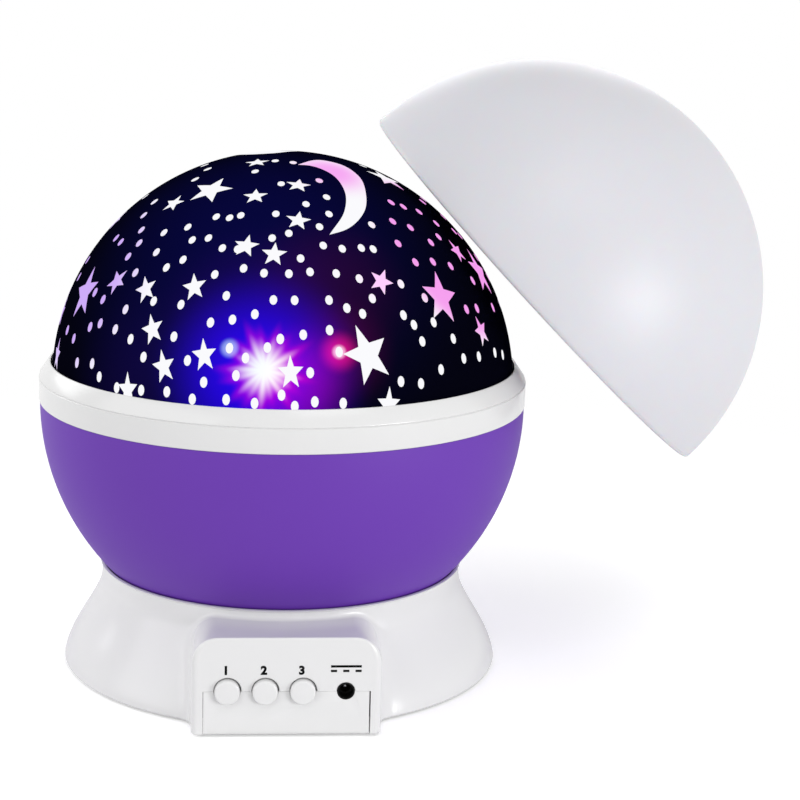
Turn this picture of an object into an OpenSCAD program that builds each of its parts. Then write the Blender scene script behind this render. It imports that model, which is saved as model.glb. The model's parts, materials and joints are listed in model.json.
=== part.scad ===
// Star night light projector: a globe that turns on a flared base.
// Millimetres, +Z up. The origin is on the globe's axis at the resting plane.
// The control panel faces -Y.

/* [Base] */
// Radius of the skirt at the floor
foot_r = 54.7; // [53:0.1:60]
// Radius of the neck under the globe
neck_r = 45; // [43.5:0.1:47]
// Height of the straight neck below the rim
neck_h = 3.8; // [2:0.1:6]
// How much the skirt curves between neck and foot
flare_bend = 0.7; // [0.3:0.05:1]
// Wall thickness of the skirt and the saucer
base_wall = 2.2; // [1.6:0.1:2.6]
// Thickness of the deck under the globe
deck_t = 2; // [1.6:0.1:4]
// Width of the snug gap between the globe and the saucer
bowl_gap = 0.45; // [0.35:0.05:1]
// Outer radius of the centre post
post_r = 8; // [7.6:0.1:8.4]
// Radius of the wire bore in the centre post
post_bore_r = 3.5; // [2.6:0.1:4.2]

/* [Control panel] */
// Width of the control panel
panel_w = 43.4; // [42.4:0.2:50]
// How far the panel stands in front of the skirt
panel_proud = 4.3; // [3:0.1:8]
// How far the panel's top lies below the rim
panel_drop = 1.85; // [0.5:0.05:4]
// Radius of the panel's top corners
panel_corner_r = 6.2; // [3:0.1:8]
// Wall thickness of the panel
panel_wall = 2; // [1.4:0.1:2.4]
// Width of the tab that closes the lower half of the panel
tab_w = 37.6; // [36.4:0.2:38.2]
// Height of the button row above the floor
button_z = 11.2; // [10.8:0.1:13]
// Distance from button to button
button_pitch = 8.6; // [7.6:0.1:9.2]
// Place of the middle button, left of the centre
button_shift = 4.9; // [4.5:0.1:5.4]
// Diameter of a button
button_d = 5.8; // [4.6:0.1:6]
// Gap round a button in its hole
button_gap = 0.12; // [0.05:0.01:0.2]
// How far a button stands out
button_proud = 1.4; // [0.8:0.1:2.5]
// Travel of a button
button_travel = 0.8; // [0.3:0.1:0.9]
// Place of the power socket, right of the centre
jack_x = 13.5; // [12.8:0.1:13.8]
// Bore of the power socket
jack_bore_d = 3.5; // [3:0.1:3.6]
// Outer diameter of the socket's nose
jack_nose_d = 4; // [3.9:0.1:5]
// Depth of the socket's open mouth in front of its pin
jack_mouth = 3; // [2:0.1:4]
// Diameter of the socket's pin
jack_pin_d = 1.3; // [0.8:0.1:1.6]

/* [Bottom cover and power] */
// Height of the rubber feet under the housing
foot_lift = 0.6; // [0.3:0.1:2]
// Radius of a rubber foot
foot_pad_r = 4; // [3:0.1:4.4]
// Thickness of the bottom cover
cover_plate_t = 2.4; // [2.2:0.1:3.4]
// Thickness of the battery door
door_t = 1.45; // [1.3:0.05:1.5]
// Diameter of a battery cell
cell_d = 10.5; // [9.8:0.1:10.7]
// Length of a battery cell
cell_l = 44.5; // [40:0.5:46]
// Length of a contact spring as fitted
spring_l = 5; // [3.5:0.1:6]
// Wire diameter of a contact spring
spring_wire_d = 0.7; // [0.5:0.05:0.9]
// Thickness of a circuit board
board_t = 1.2; // [0.8:0.1:1.6]

/* [Globe] */
// Outer radius of the bowl
bowl_r = 60; // [59:0.1:64]
// Wall thickness of the bowl
bowl_wall = 2; // [1.4:0.1:2.4]
// Thickness of the bowl's flat floor
bowl_floor_t = 2.2; // [1.8:0.1:3]
// Height cut off the bowl's round bottom
bowl_cut = 13; // [12:0.1:13.4]
// Thickness of the thrust washer
washer_t = 1; // [0.6:0.1:2]
// How far the ring stands proud of the bowl
ring_proud = 0.2; // [0:0.1:1]
// Height of the ring's upright band
ring_band_h = 6.1; // [5.6:0.1:9]
// Height of the ring's sloped lip
ring_lip_h = 3.6; // [2:0.1:5]
// Wall of the ring's lip at its top
ring_lip_t = 0.6; // [0.5:0.1:1.2]
// Twist that frees the dome unit from the bowl, in degrees
lock_turn = 18; // [10:1:40]
// How much smaller the dome is than the bowl
dome_inset = 3.15; // [2.9:0.05:3.6]
// Height of the dome's centre above the ring's lower edge
dome_rise = 3.8; // [2:0.1:5]
// Wall thickness of the dome
dome_wall = 1.2; // [0.8:0.1:1.6]
// Thickness of the dark star film
film_t = 0.2; // [0.1:0.05:0.4]

/* [Star pattern] */
// Radius of a large star
big_star_r = 5.6; // [4:0.1:7]
// Radius of a small star
small_star_r = 3; // [2:0.1:4]
// Inner radius of a star as a share of its radius
star_waist = 0.42; // [0.3:0.01:0.55]
// Radius of a round dot
dot_r = 0.85; // [0.5:0.05:1.2]
// Radius of the moon
moon_r = 15; // [10:0.5:18]
// Radius of the circle that hollows the moon
moon_cut_r = 15.8; // [10:0.1:20]
// Distance between the moon's two circles
moon_shift = 8.9; // [5:0.1:12]

/* [Diffuser cover] */
// Room between the dome and the cover when it is fitted
cover_room = 0.8; // [0.4:0.1:3]
// Wall thickness of the cover
cover_wall = 1.6; // [1:0.1:2.4]
// Tilt of the lifted cover, in degrees
cover_tilt = 45.5; // [20:0.5:60]
// Turn of the lifted cover about the upright, in degrees
cover_turn = -3.7; // [-20:0.1:20]
// Lifted cover's place to the right, in cover radii
cover_out = 1.105; // [1.05:0.005:1.6]
// Lifted cover's place to the back, in cover radii
cover_back = 0.43; // [0.3:0.01:0.6]
// Lifted cover's height above the dome's centre, in cover radii
cover_up = 0.334; // [0.3:0.001:0.8]

/* [Turning gear] */
// Gear module
gear_m = 0.8; // [0.7:0.02:0.82]
// Teeth of the gear on the bowl
bowl_teeth = 48; // [46:2:50]
// Teeth of each small gear
small_teeth = 12; // [12:1:13]
// Teeth of the large idler gear
idler_teeth = 36; // [34:2:36]
// Thickness of the gear on the bowl
bowl_gear_t = 5; // [4:0.1:6]
// Thickness of the large idler gear
idler_gear_t = 3; // [2:0.1:4]
// Play between meshed teeth, per gear
backlash = 0.12; // [0.08:0.01:0.2]
// Thickness of the plate that carries the motor
plate_t = 2; // [1.5:0.1:3]
// Radius of the motor can
motor_r = 6; // [5:0.1:7]
// Width of the motor across its flats
motor_flat = 10; // [8:0.1:11]
// Length of the motor can
motor_l = 15; // [12:0.5:20]
// Length of the motor's gearbox
gearbox_l = 9.5; // [8:0.5:12]
// Radius of the motor shaft
shaft_r = 1.5; // [1:0.1:1.8]
// Radius of the idler's axle
axle_r = 1; // [0.8:0.1:1.4]

/* [Lamp board] */
// Radius of the lamp board
led_board_r = 20; // [18:0.5:30]
// Height of the lamp board's top below the dome's centre
led_board_drop = 3.1; // [1:0.1:6]
// Radius of a lamp
led_r = 2.5; // [2:0.1:2.8]
// Height of a lamp without its round tip
led_h = 6; // [4:0.1:8]
// Outer radius of the lamp stem
stem_r = 3.8; // [3.4:0.1:3.9]
// Wall thickness of the lamp stem
stem_wall = 1.2; // [0.8:0.1:1.4]
// Diameter of a wire
wire_d = 1.6; // [0.8:0.1:1.6]

/* [Hidden] */
$fn = 96;
eps = 0.01;
fit = 0.05;            // running clearance of turning fits
seat = 0.02;           // gap between faces that rest on each other
play = 0.2;            // loose gap between fixed pieces
span = 4 * bowl_r;     // reaches past every piece

// ---- levels of the base, from the floor up
plate_z = foot_lift;
plate_top = plate_z + cover_plate_t;
rail_t = 0.7;                                  // lip under the door's tongue
door_z = plate_z + 0.1;
door_top = door_z + door_t;
cell_z = door_top + 0.15 + cell_d / 2;
bay_roof_z = cell_z + cell_d / 2 + play;
bay_wall = 1.3;
wire_room = wire_d + 0.3;
deck_z = bay_roof_z + bay_wall + wire_room;    // underside of the deck
deck_top = deck_z + deck_t;
bowl_floor_z = deck_top + washer_t + seat;
bowl_z = bowl_floor_z + bowl_r - bowl_cut;     // centre of the bowl
saucer_r = bowl_r + bowl_gap;
rim_z = bowl_z - sqrt(saucer_r * saucer_r - neck_r * neck_r);
neck_z = rim_z - neck_h;
skirt_h = neck_z - foot_lift;

// ---- panel, from its face inwards
panel_y = -(foot_r + panel_proud);
panel_top = rim_z - panel_drop;
panel_in_y = panel_y + panel_wall;
button_r = button_d / 2;
button_x = [for (i = [0:2]) -button_shift + (i - 1) * button_pitch];
flange_t = 0.8;
flange_y = panel_in_y + 0.1;
plunger_y = flange_y + flange_t + fit;
plunger_r = 1.75;
switch_y = plunger_y + button_travel + 0.2;
switch_w = 6;
switch_depth = 3.4;
switch_board_y = switch_y + switch_depth;
board_z = plate_top + 2.5;
board_top = board_z + board_t;
board_w = min(panel_w - 2 * panel_wall, tab_w) - 1;
board_y = panel_in_y + 0.5;
board_len = 20;
post_inset = 2.6;                              // board's fixings, from its rear edge
wire_inset = 9;                                // wire's hole, from the board's right edge
jack_w = 8.6;
jack_len = 12;

// ---- battery bay, along Y
contact_t = 0.4;
spring_r = cell_d / 2 - 1.85;                  // at the foot of a contact spring
spring_tip_r = spring_r - 1.4;
bay_half_w = 2 * cell_d + 0.5;
bay_len = cell_l + spring_l + 2 * contact_t + 0.2;
bay_y = 10 - bay_len / 2;
tongue_w = 1.2;
door_half_w = bay_half_w + 0.7;
door_y = bay_y - 1;
plate_r = skirt_r((neck_z - plate_top) / skirt_h) - base_wall - play;

// ---- fixings on the base
boss_r = 3.2;
boss_ring = neck_r - base_wall - boss_r - 0.3;
boss_angles = [25, 155, -48, -132];
pad_ring = plate_r - foot_pad_r - 2;
pad_angles = [50, 130, -30, -150];
screw_r = 1.1;
small_screw_r = 0.98;
screw_l = 8;
head_h = 1.1;
head_r = 1.9;
small_head_r = 1.7;
big_head_r = 2.2;
slot_w = 0.4;
slot_depth = 0.5;

// ---- globe
ring_z = bowl_z + 0.7;
ring_r = bowl_r + ring_proud;
ring_top = ring_z + ring_band_h + ring_lip_h;
lip_in_r = bowl_r - bowl_wall;
upstand_r = lip_in_r - 0.07;
upstand_t = 1.7;
upstand_top = ring_z + 3.1;
dome_r = bowl_r - dome_inset;
dome_z = ring_z + dome_rise;
dome_seat = upstand_top + 2;
film_in_r = dome_r + 0.03;
film_r = film_in_r + film_t;
lug_w = 8;
lug_z = ring_z + 0.6;
lug_h = 1.3;

// ---- cover
cover_r = film_r + cover_room + cover_wall;
cover_c = [cover_out * cover_r, cover_back * cover_r, dome_z + cover_up * cover_r];

// ---- gear train
addendum = 0.75 * gear_m;
dedendum = 1.1 * gear_m;
pressure = 20;
hub_r = post_r + 3;
gear_z = bowl_floor_z + bowl_floor_t;
gear_top = gear_z + bowl_gear_t;
pinion_z = gear_z + 1.2;
idler_z = gear_top + 1;
idler_top = idler_z + idler_gear_t;
mech_z = idler_top + 1;
mech_top = mech_z + plate_t;
idler_gap = gear_m * (bowl_teeth + small_teeth) / 2;
motor_gap = gear_m * (idler_teeth + small_teeth) / 2;
idler_dir = 90;
motor_dir = idler_dir + 2 * asin(motor_gap / (2 * idler_gap));
idler_at = idler_gap * [cos(idler_dir), sin(idler_dir)];
motor_at = idler_gap * [cos(motor_dir), sin(motor_dir)];
mesh_dir = atan2(motor_at.y - idler_at.y, motor_at.x - idler_at.x);
mech_r = idler_gap + motor_r + 3;
motor_base = mech_top + gearbox_l;
fix_ring = (post_r + post_bore_r) / 2;
gear_fix_ring = (hub_r + gear_m * bowl_teeth / 2 - dedendum) / 2;

// ---- lamps
board_level = dome_z - led_board_drop;
lamp_board_t = 1.6;
stem_foot_t = 1.5;
lamp_screw_y = 5.2;
led_spots = [[-5, -6], [13.5, -3], [-14, -3], [4, 9]];

// ================= small helpers

module ring_of(angles, radius) {
  for (a = angles) rotate(a) translate([radius, 0, 0]) rotate(-a) children();
}

// Everything above or below a level, for cutting
module above(z) {
  translate([-span / 2, -span / 2, z]) cube(span);
}

module below(z) {
  translate([-span / 2, -span / 2, z - span]) cube(span);
}

module tube(r_out, r_in, h) {
  difference() {
    cylinder(r = r_out, h = h);
    translate([0, 0, -1]) cylinder(r = r_in, h = h + 2);
  }
}

// A bar along +Y, round, starting at y = 0
module bar_y(r, l) {
  rotate([-90, 0, 0]) cylinder(r = r, h = l, $fn = 48);
}

// A block with two round top corners, running along +Y
module arched_block(w, z_low, z_top, corner, l) {
  translate([-w / 2, 0, z_low]) cube([w, l, z_top - corner - z_low]);
  translate([-w / 2 + corner, 0, z_low]) cube([w - 2 * corner, l, z_top - z_low]);
  for (s = [-1, 1]) translate([s * (w / 2 - corner), 0, z_top - corner]) bar_y(corner, l);
}

// A pan-head screw that points down, with its head's underside at z = 0
module screw(r, l, pan_r = head_r) {
  slot_l = 1.2 * pan_r;
  translate([0, 0, -l]) cylinder(r = r, h = l + eps, $fn = 24);
  difference() {
    cylinder(r = pan_r, h = head_h, $fn = 32);
    for (a = [0, 90])
      rotate(a) translate([-slot_l / 2, -slot_w / 2, head_h - slot_depth]) cube([slot_l, slot_w, head_h]);
  }
}

// ================= gears

function involute(r, rb) = let (a = acos(rb / r)) tan(a) * 180 / PI - a;

function tooth_half(r, rp, rb, teeth) =
  90 / teeth - backlash / rp * 90 / PI
  + involute(rp, rb) - (r > rb ? involute(r, rb) : 0);

// Outline of a spur gear with one tooth centred on +X
module gear_outline(teeth) {
  rp = gear_m * teeth / 2;
  rb = rp * cos(pressure);
  ra = rp + addendum;
  rd = rp - dedendum;
  start = max(rb, rd);
  steps = [rd, start, (start + ra) / 2, ra];
  polygon([
    for (t = [0:teeth - 1], k = [0:7])
      let (
        up = k < 4,
        r = steps[up ? k : 7 - k],
        half = tooth_half(max(r, start), rp, rb, teeth),
        a = 360 * t / teeth + (up ? -half : half)
      )
      [r * cos(a), r * sin(a)]
  ]);
}

module gear(teeth, h) {
  linear_extrude(h) gear_outline(teeth);
}

// ================= base housing

function skirt_r(t) =
  neck_r + (foot_r - neck_r) * ((1 - flare_bend) * t + flare_bend * (3 * t * t - 2 * t * t * t));

skirt_steps = 16;
function skirt_points(inset) =
  [for (i = [0:skirt_steps]) let (t = i / skirt_steps) [skirt_r(t) - inset, neck_z - skirt_h * t]];

module skirt_solid(inset, low, high) {
  rotate_extrude() polygon(concat(
    [[0, high], [neck_r - inset, high]],
    skirt_points(inset),
    [[foot_r - inset, low], [0, low]]
  ));
}

// The round hollow that the globe sits in, flat at the deck
module saucer(grow, floor_z) {
  intersection() {
    translate([0, 0, bowl_z]) sphere(r = saucer_r + grow);
    above(floor_z);
  }
}

module panel_openings() {
  for (x = button_x) translate([x, panel_y - 1, button_z]) bar_y(button_r + button_gap, panel_wall + 2);
  translate([jack_x, panel_y - 1, button_z]) bar_y(jack_nose_d / 2 + 0.03, panel_wall + 2);
}

module base_shell() {
  difference() {
    union() {
      skirt_solid(0, plate_z, rim_z + 1);
      translate([0, panel_y, 0])
        arched_block(panel_w, plate_z, panel_top, panel_corner_r, -panel_y - neck_r + base_wall);
    }
    difference() {
      union() {
        skirt_solid(base_wall, plate_z - 1, neck_z);
        translate([0, panel_in_y, 0])
          arched_block(
            panel_w - 2 * panel_wall, plate_z - 1, panel_top - panel_wall,
            panel_corner_r - panel_wall, -panel_in_y - neck_r + 2 * base_wall
          );
      }
      saucer(base_wall, deck_z);
    }
  }
}

module base_housing() {
  color("white") {
    difference() {
      union() {
        base_shell();
        ring_of(boss_angles, boss_ring)
          translate([0, 0, plate_top + seat]) cylinder(r = boss_r, h = deck_top - plate_top + 2, $fn = 48);
      }
      saucer(0, deck_top);
      ring_of(boss_angles, boss_ring)
        translate([0, 0, plate_top - 1]) cylinder(r = screw_r, h = screw_l + 2, $fn = 32);
      panel_openings();
      translate([-tab_w / 2 - play, panel_y - 1, plate_z - 1])
        cube([tab_w + 2 * play, panel_wall + 1.5, button_z - plate_z + 1]);
      translate([-door_half_w - tongue_w - 0.4, 0, plate_z - 1])
        cube([2 * (door_half_w + tongue_w + 0.4), foot_r + 1, door_top + 0.2 - plate_z + 1]);
      translate([0, 0, deck_z - 1]) cylinder(r = post_bore_r, h = deck_t + 2, $fn = 48);
    }
    difference() {
      translate([0, 0, deck_top - eps]) tube(post_r, post_bore_r, mech_z - deck_top - seat + eps);
      ring_of([0, 120, 240], fix_ring)
        translate([0, 0, mech_z - 7]) cylinder(r = small_screw_r + seat, h = 8, $fn = 32);
    }
  }
}

// ================= bottom cover, door and cells

module bay_box(grow, z_low, z_top) {
  translate([-bay_half_w - grow, bay_y - grow, z_low])
    cube([2 * (bay_half_w + grow), bay_len + 2 * grow, z_top - z_low]);
}

// Slot that the door slides in, open at the rear
module door_slot() {
  lip = door_half_w + 0.2;
  groove = lip + tongue_w;
  translate([-lip, door_y - 0.2, plate_z - 1]) cube([2 * lip, foot_r + 20, rail_t + 1 + eps]);
  translate([-groove, door_y - 0.2, plate_z + rail_t]) cube([2 * groove, foot_r + 20, door_top + 0.1 - plate_z - rail_t]);
}

board_posts = [for (s = [-1, 1]) [s * (board_w / 2 - 4), board_y + board_len - post_inset]];
wire_at = [board_w / 2 - wire_inset, board_y + board_len - post_inset];

module bottom_cover() {
  color("white")
  difference() {
    union() {
      translate([0, 0, plate_z]) cylinder(r = plate_r, h = cover_plate_t);
      translate([-tab_w / 2, panel_y, plate_z]) cube([tab_w, -panel_y - neck_r + 4, cover_plate_t]);
      translate([-tab_w / 2, panel_y, plate_z]) cube([tab_w, panel_wall, button_z - play - plate_z]);
      bay_box(bay_wall, plate_top - eps, bay_roof_z + bay_wall);
      for (p = board_posts)
        translate([p.x, p.y, plate_top - eps]) cylinder(r = 2.2, h = board_z - plate_top - seat + eps, $fn = 32);
    }
    bay_box(0, door_top, bay_roof_z);
    door_slot();
    panel_openings();
    for (p = board_posts)
      translate([p.x, p.y, plate_z + 0.8]) cylinder(r = small_screw_r + seat, h = 10, $fn = 24);
    ring_of(boss_angles, boss_ring) {
      translate([0, 0, plate_z - 1]) cylinder(r = screw_r + 0.3, h = 6, $fn = 32);
      translate([0, 0, plate_z - 1]) cylinder(r = big_head_r + play, h = 1 + head_h + 0.2, $fn = 32);
    }
    ring_of(pad_angles, pad_ring)
      translate([0, 0, plate_z - 1]) cylinder(r = foot_pad_r + 0.05, h = 1.4, $fn = 48);
  }
}

module battery_door() {
  color("white")
  intersection() {
    difference() {
      union() {
        translate([-door_half_w, door_y, door_z]) cube([2 * door_half_w, foot_r - door_y, door_t]);
        translate([-door_half_w - tongue_w + 0.1, door_y, plate_z + rail_t + 0.1])
          cube([2 * (door_half_w + tongue_w - 0.1), foot_r - door_y, door_top - plate_z - rail_t - 0.1]);
      }
      for (k = [0:3]) translate([-8, 30 + 3 * k, door_z - 1]) cube([16, 1.2, 1.5]);
    }
    cylinder(r = foot_r - 0.4, h = 10);
  }
}

module rubber_feet() {
  color("dimgray")
  ring_of(pad_angles, pad_ring) cylinder(r = foot_pad_r, h = plate_z + 0.38, $fn = 48);
}

module bottom_screws() {
  color("silver")
  ring_of(boss_angles, boss_ring)
    translate([0, 0, plate_z + head_h + 0.2]) rotate([180, 0, 0]) screw(screw_r - seat, screw_l, big_head_r);
}

// Cell k lies along Y; even cells have their plus end to the rear
module at_cell(k) {
  translate([(k - 1.5) * cell_d, bay_y + bay_len / 2, cell_z])
    rotate(k % 2 == 0 ? 0 : 180) translate([0, -bay_len / 2, 0]) children();
}

module battery_cells() {
  nub = 0.8;
  color("seagreen")
  for (k = [0:3]) at_cell(k) {
    translate([0, contact_t + spring_l + 0.1, 0]) {
      bar_y(cell_d / 2 - 0.02, cell_l - nub);
      bar_y(1.9, cell_l);
    }
  }
}

module contact_plates() {
  size = cell_d - 1.5;
  color("silver")
  for (k = [0:3]) at_cell(k) {
    translate([-size / 2, 0.03, -size / 2]) cube([size, contact_t - 0.05, size]);
    translate([-size / 2, bay_len - contact_t + 0.02, -size / 2]) cube([size, contact_t - 0.05, size]);
  }
}

// One contact spring: a cone-shaped coil swept as a six-sided wire
module coil(l, r_big, r_small, turns, wire_r) {
  rings = turns * 10;
  sides = 6;
  points = [
    for (i = [0:rings], j = [0:sides - 1])
      let (
        t = i / rings,
        a = 360 * turns * t,
        b = 360 * j / sides,
        r = r_big + (r_small - r_big) * t + wire_r * cos(b)
      )
      [r * cos(a), wire_r + (l - 2 * wire_r) * t + wire_r * sin(b), r * sin(a)]
  ];
  sides_of = [
    for (i = [0:rings - 1], j = [0:sides - 1])
      let (a = i * sides + j, b = i * sides + (j + 1) % sides)
      [a, b, b + sides, a + sides]
  ];
  caps = [[for (j = [sides - 1:-1:0]) j], [for (j = [0:sides - 1]) rings * sides + j]];
  polyhedron(points, concat(sides_of, caps), convexity = 8);
}

module contact_springs() {
  color("silver")
  for (k = [0:3]) at_cell(k)
    translate([0, contact_t + 0.02, 0]) coil(spring_l, spring_r, spring_tip_r, 4, spring_wire_d / 2);
}

// ================= boards, buttons and socket

module main_board() {
  color("darkgreen")
  difference() {
    translate([-board_w / 2, board_y, board_z]) cube([board_w, board_len, board_t]);
    for (p = board_posts) translate([p.x, p.y, 0]) cylinder(r = 1.2, h = 30, $fn = 24);
    translate([wire_at.x, wire_at.y, 0]) cylinder(r = wire_d / 2 + 0.1, h = 30, $fn = 24);
  }
}

module control_chip() {
  color("black") {
    translate([-3, board_y + 11, board_top + seat]) cube([8, 5, 1.6]);
    translate([-12, board_y + 12, board_top + seat]) cube([3, 3, 2.4]);
  }
}

module board_screws() {
  color("silver")
  for (p = board_posts) translate([p.x, p.y, board_top + seat]) screw(small_screw_r, 4.4);
}

module switch_board() {
  x_low = button_x[0] - switch_w / 2 - 1;
  color("darkgreen")
  translate([x_low, switch_board_y + seat, board_top + seat])
    cube([button_x[2] + switch_w / 2 + 0.6 - x_low, board_t, button_z + switch_w / 2 + 1.5 - board_top]);
}

module tact_switches() {
  color("dimgray")
  for (x = button_x)
    difference() {
      translate([x - switch_w / 2, switch_y, button_z - switch_w / 2]) cube([switch_w, switch_depth, switch_w]);
      translate([x, switch_y - 1, button_z]) bar_y(plunger_r + fit, 1 + 1.1 + button_travel);
    }
}

module dc_jack() {
  color("black")
  difference() {
    union() {
      translate([jack_x, panel_y, button_z]) bar_y(jack_nose_d / 2, panel_wall + 1);
      translate([jack_x - jack_w / 2, panel_in_y + fit, board_top + seat])
        cube([jack_w, jack_len - panel_wall, button_z + jack_w / 2 - board_top]);
    }
    translate([jack_x, panel_y - 1, button_z]) {
      bar_y(jack_bore_d / 2, jack_mouth + 1);
      bar_y(jack_pin_d / 2 + 0.6, 10);
      bar_y(jack_pin_d / 2 + seat, 12);
    }
  }
}

module dc_jack_pin() {
  tip = jack_mouth + 0.2;
  color("silver")
  translate([jack_x, panel_y + tip, button_z]) {
    translate([0, jack_pin_d / 2, 0]) bar_y(jack_pin_d / 2, 10.8 - tip - jack_pin_d / 2);
    translate([0, jack_pin_d / 2, 0]) sphere(r = jack_pin_d / 2, $fn = 32);
  }
}

module button(k) {
  color("white")
  translate([button_x[k], 0, button_z]) {
    translate([0, panel_y - button_proud, 0]) bar_y(button_r, button_proud + panel_wall + 0.2);
    translate([0, flange_y, 0]) bar_y(button_r + 0.7, flange_t);
  }
}

module plunger(k) {
  color("black")
  translate([button_x[k], plunger_y, button_z]) bar_y(plunger_r, switch_y - plunger_y + 1);
}

// Wires from the main board up through the post to the lamp board
module wires() {
  r = wire_d / 2;
  elbow_r = r + 0.05;
  run_z = bay_roof_z + bay_wall + wire_room / 2;
  run = norm(wire_at);
  top = board_level - lamp_board_t - seat;
  color("firebrick") {
    translate([wire_at.x, wire_at.y, 0]) {
      translate([0, 0, board_top + seat]) cylinder(r = r, h = run_z - board_top, $fn = 24);
      translate([0, 0, run_z]) sphere(r = elbow_r, $fn = 24);
      translate([0, 0, run_z]) rotate(atan2(-wire_at.y, -wire_at.x)) rotate([0, 90, 0])
        cylinder(r = r, h = run, $fn = 24);
    }
    translate([0, 0, run_z]) sphere(r = elbow_r, $fn = 24);
    translate([0, 0, run_z]) cylinder(r = r, h = top - run_z, $fn = 24);
  }
}

// ================= turning parts

module thrust_washer() {
  color("ivory") translate([0, 0, deck_top + seat / 2]) tube(post_r + 6, post_r + 0.1, washer_t);
}

module lug_slots() {
  for (k = [0:2]) rotate(k * 120) {
    translate([0, 0, lug_z - 0.2]) rotate(-lug_w / 2 - 1) rotate_extrude(angle = lug_w + lock_turn + 3)
      translate([upstand_r - upstand_t - 1, 0]) square([upstand_t + 1.03, lug_h + 0.4]);
    translate([0, 0, lug_z - 0.2]) rotate(lock_turn - lug_w / 2 - 1) rotate_extrude(angle = lug_w + 2)
      translate([upstand_r - upstand_t - 1, 0]) square([upstand_t + 1.03, 10]);
  }
}

module bowl() {
  color("rebeccapurple")
  difference() {
    union() {
      difference() {
        translate([0, 0, bowl_z]) sphere(r = bowl_r, $fn = 128);
        difference() {
          translate([0, 0, bowl_z]) sphere(r = bowl_r - bowl_wall, $fn = 128);
          below(gear_z);
        }
        below(bowl_floor_z);
        above(ring_z - seat);
      }
      rotate_extrude() polygon([
        [upstand_r - upstand_t, ring_z - 5], [lip_in_r + 0.5, ring_z - 5],
        [lip_in_r + 0.5, ring_z - seat], [upstand_r, ring_z - seat],
        [upstand_r, upstand_top - fit], [upstand_r - upstand_t, upstand_top - fit]
      ]);
      translate([0, 0, bowl_floor_z]) cylinder(r = hub_r, h = gear_top - bowl_floor_z);
    }
    translate([0, 0, bowl_floor_z - 1]) cylinder(r = post_r + fit, h = 20);
    ring_of([30, 150, 270], gear_fix_ring)
      translate([0, 0, bowl_floor_z + 0.5]) cylinder(r = small_screw_r + seat, h = 10, $fn = 24);
    lug_slots();
  }
}

module retaining_clip() {
  color("silver") translate([0, 0, gear_top + fit])
    difference() {
      cylinder(r = post_r + 1.6, h = 0.7);
      translate([0, 0, -1]) cylinder(r = post_r + seat, h = 3);
      translate([-1.5, -20, -1]) cube([3, 20, 3]);
    }
}

module bowl_gear() {
  color("ivory")
  difference() {
    translate([0, 0, gear_z + seat]) gear(bowl_teeth, bowl_gear_t - seat);
    translate([0, 0, gear_z - 1]) cylinder(r = hub_r + seat, h = 20);
    ring_of([30, 150, 270], gear_fix_ring) {
      translate([0, 0, gear_z - 1]) cylinder(r = small_screw_r + seat, h = 20, $fn = 24);
      translate([0, 0, gear_top - head_h - 0.1]) cylinder(r = head_r + 0.1, h = 10, $fn = 32);
    }
  }
}

module bowl_gear_screws() {
  color("silver")
  ring_of([30, 150, 270], gear_fix_ring)
    translate([0, 0, gear_top - head_h - 0.1 + seat / 2]) screw(small_screw_r, bowl_gear_t - head_h + 1.2);
}

module idler_gear() {
  color("khaki")
  translate([idler_at.x, idler_at.y, 0])
  difference() {
    union() {
      rotate(idler_dir + 180 + 180 / small_teeth)
        translate([0, 0, pinion_z]) gear(small_teeth, idler_z - pinion_z + eps);
      rotate(mesh_dir) translate([0, 0, idler_z]) gear(idler_teeth, idler_gear_t);
      cylinder_from(2.6, idler_top - eps, mech_z - 0.1);
    }
    translate([0, 0, pinion_z - 1]) cylinder(r = axle_r + fit, h = 30, $fn = 32);
  }
}

module cylinder_from(r, low, high) {
  translate([0, 0, low]) cylinder(r = r, h = high - low, $fn = 32);
}

module idler_axle() {
  color("silver")
  translate([idler_at.x, idler_at.y, 0]) {
    cylinder_from(axle_r, pinion_z - 0.5, mech_top);
    cylinder_from(axle_r + 0.9, pinion_z - 0.55, pinion_z - 0.05);
  }
}

module mech_plate() {
  color("gainsboro")
  difference() {
    cylinder_from(mech_r, mech_z, mech_top);
    translate([0, 0, mech_z - 1]) cylinder(r = stem_r - stem_wall, h = 10, $fn = 48);
    ring_of([0, 120, 240], fix_ring) cylinder_from(small_screw_r + 0.1, mech_z - 1, mech_top + 1);
    translate([idler_at.x, idler_at.y, 0]) cylinder_from(axle_r + seat, mech_z - 1, mech_top + 1);
    translate([motor_at.x, motor_at.y, 0]) {
      cylinder_from(shaft_r + 0.8, mech_z - 1, mech_top + 1);
      rotate(motor_dir) for (s = [-1, 1]) translate([0, s * bracket_reach, 0])
        cylinder_from(small_screw_r + seat, mech_z - 1, mech_top + 1);
    }
  }
}

module mech_screws() {
  color("silver")
  ring_of([0, 120, 240], fix_ring)
    translate([0, 0, mech_top + stem_foot_t + 2 * seat]) screw(small_screw_r, plate_t + stem_foot_t + 4, small_head_r);
}

module motor_section(h) {
  intersection() {
    cylinder(r = motor_r, h = h, $fn = 64);
    translate([-motor_r, -motor_flat / 2, 0]) cube([2 * motor_r, motor_flat, h]);
  }
}

module at_motor() {
  translate([motor_at.x, motor_at.y, 0]) rotate(motor_dir) children();
}

module motor_gearbox() {
  color("goldenrod")
  at_motor() difference() {
    translate([-motor_r, -motor_flat / 2, mech_top + seat]) cube([2 * motor_r, motor_flat, gearbox_l - seat]);
    cylinder_from(shaft_r + fit, mech_top - 1, motor_base - 2);
  }
}

module motor_can() {
  color("silver")
  at_motor() translate([0, 0, motor_base + seat]) {
    motor_section(motor_l);
    translate([0, 0, motor_l - eps]) cylinder(r = 2.4, h = 1, $fn = 32);
    for (s = [-1, 1]) translate([s * 4 - 0.5, -0.2, motor_l - eps]) cube([1, 0.4, 2.4]);
  }
}

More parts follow.
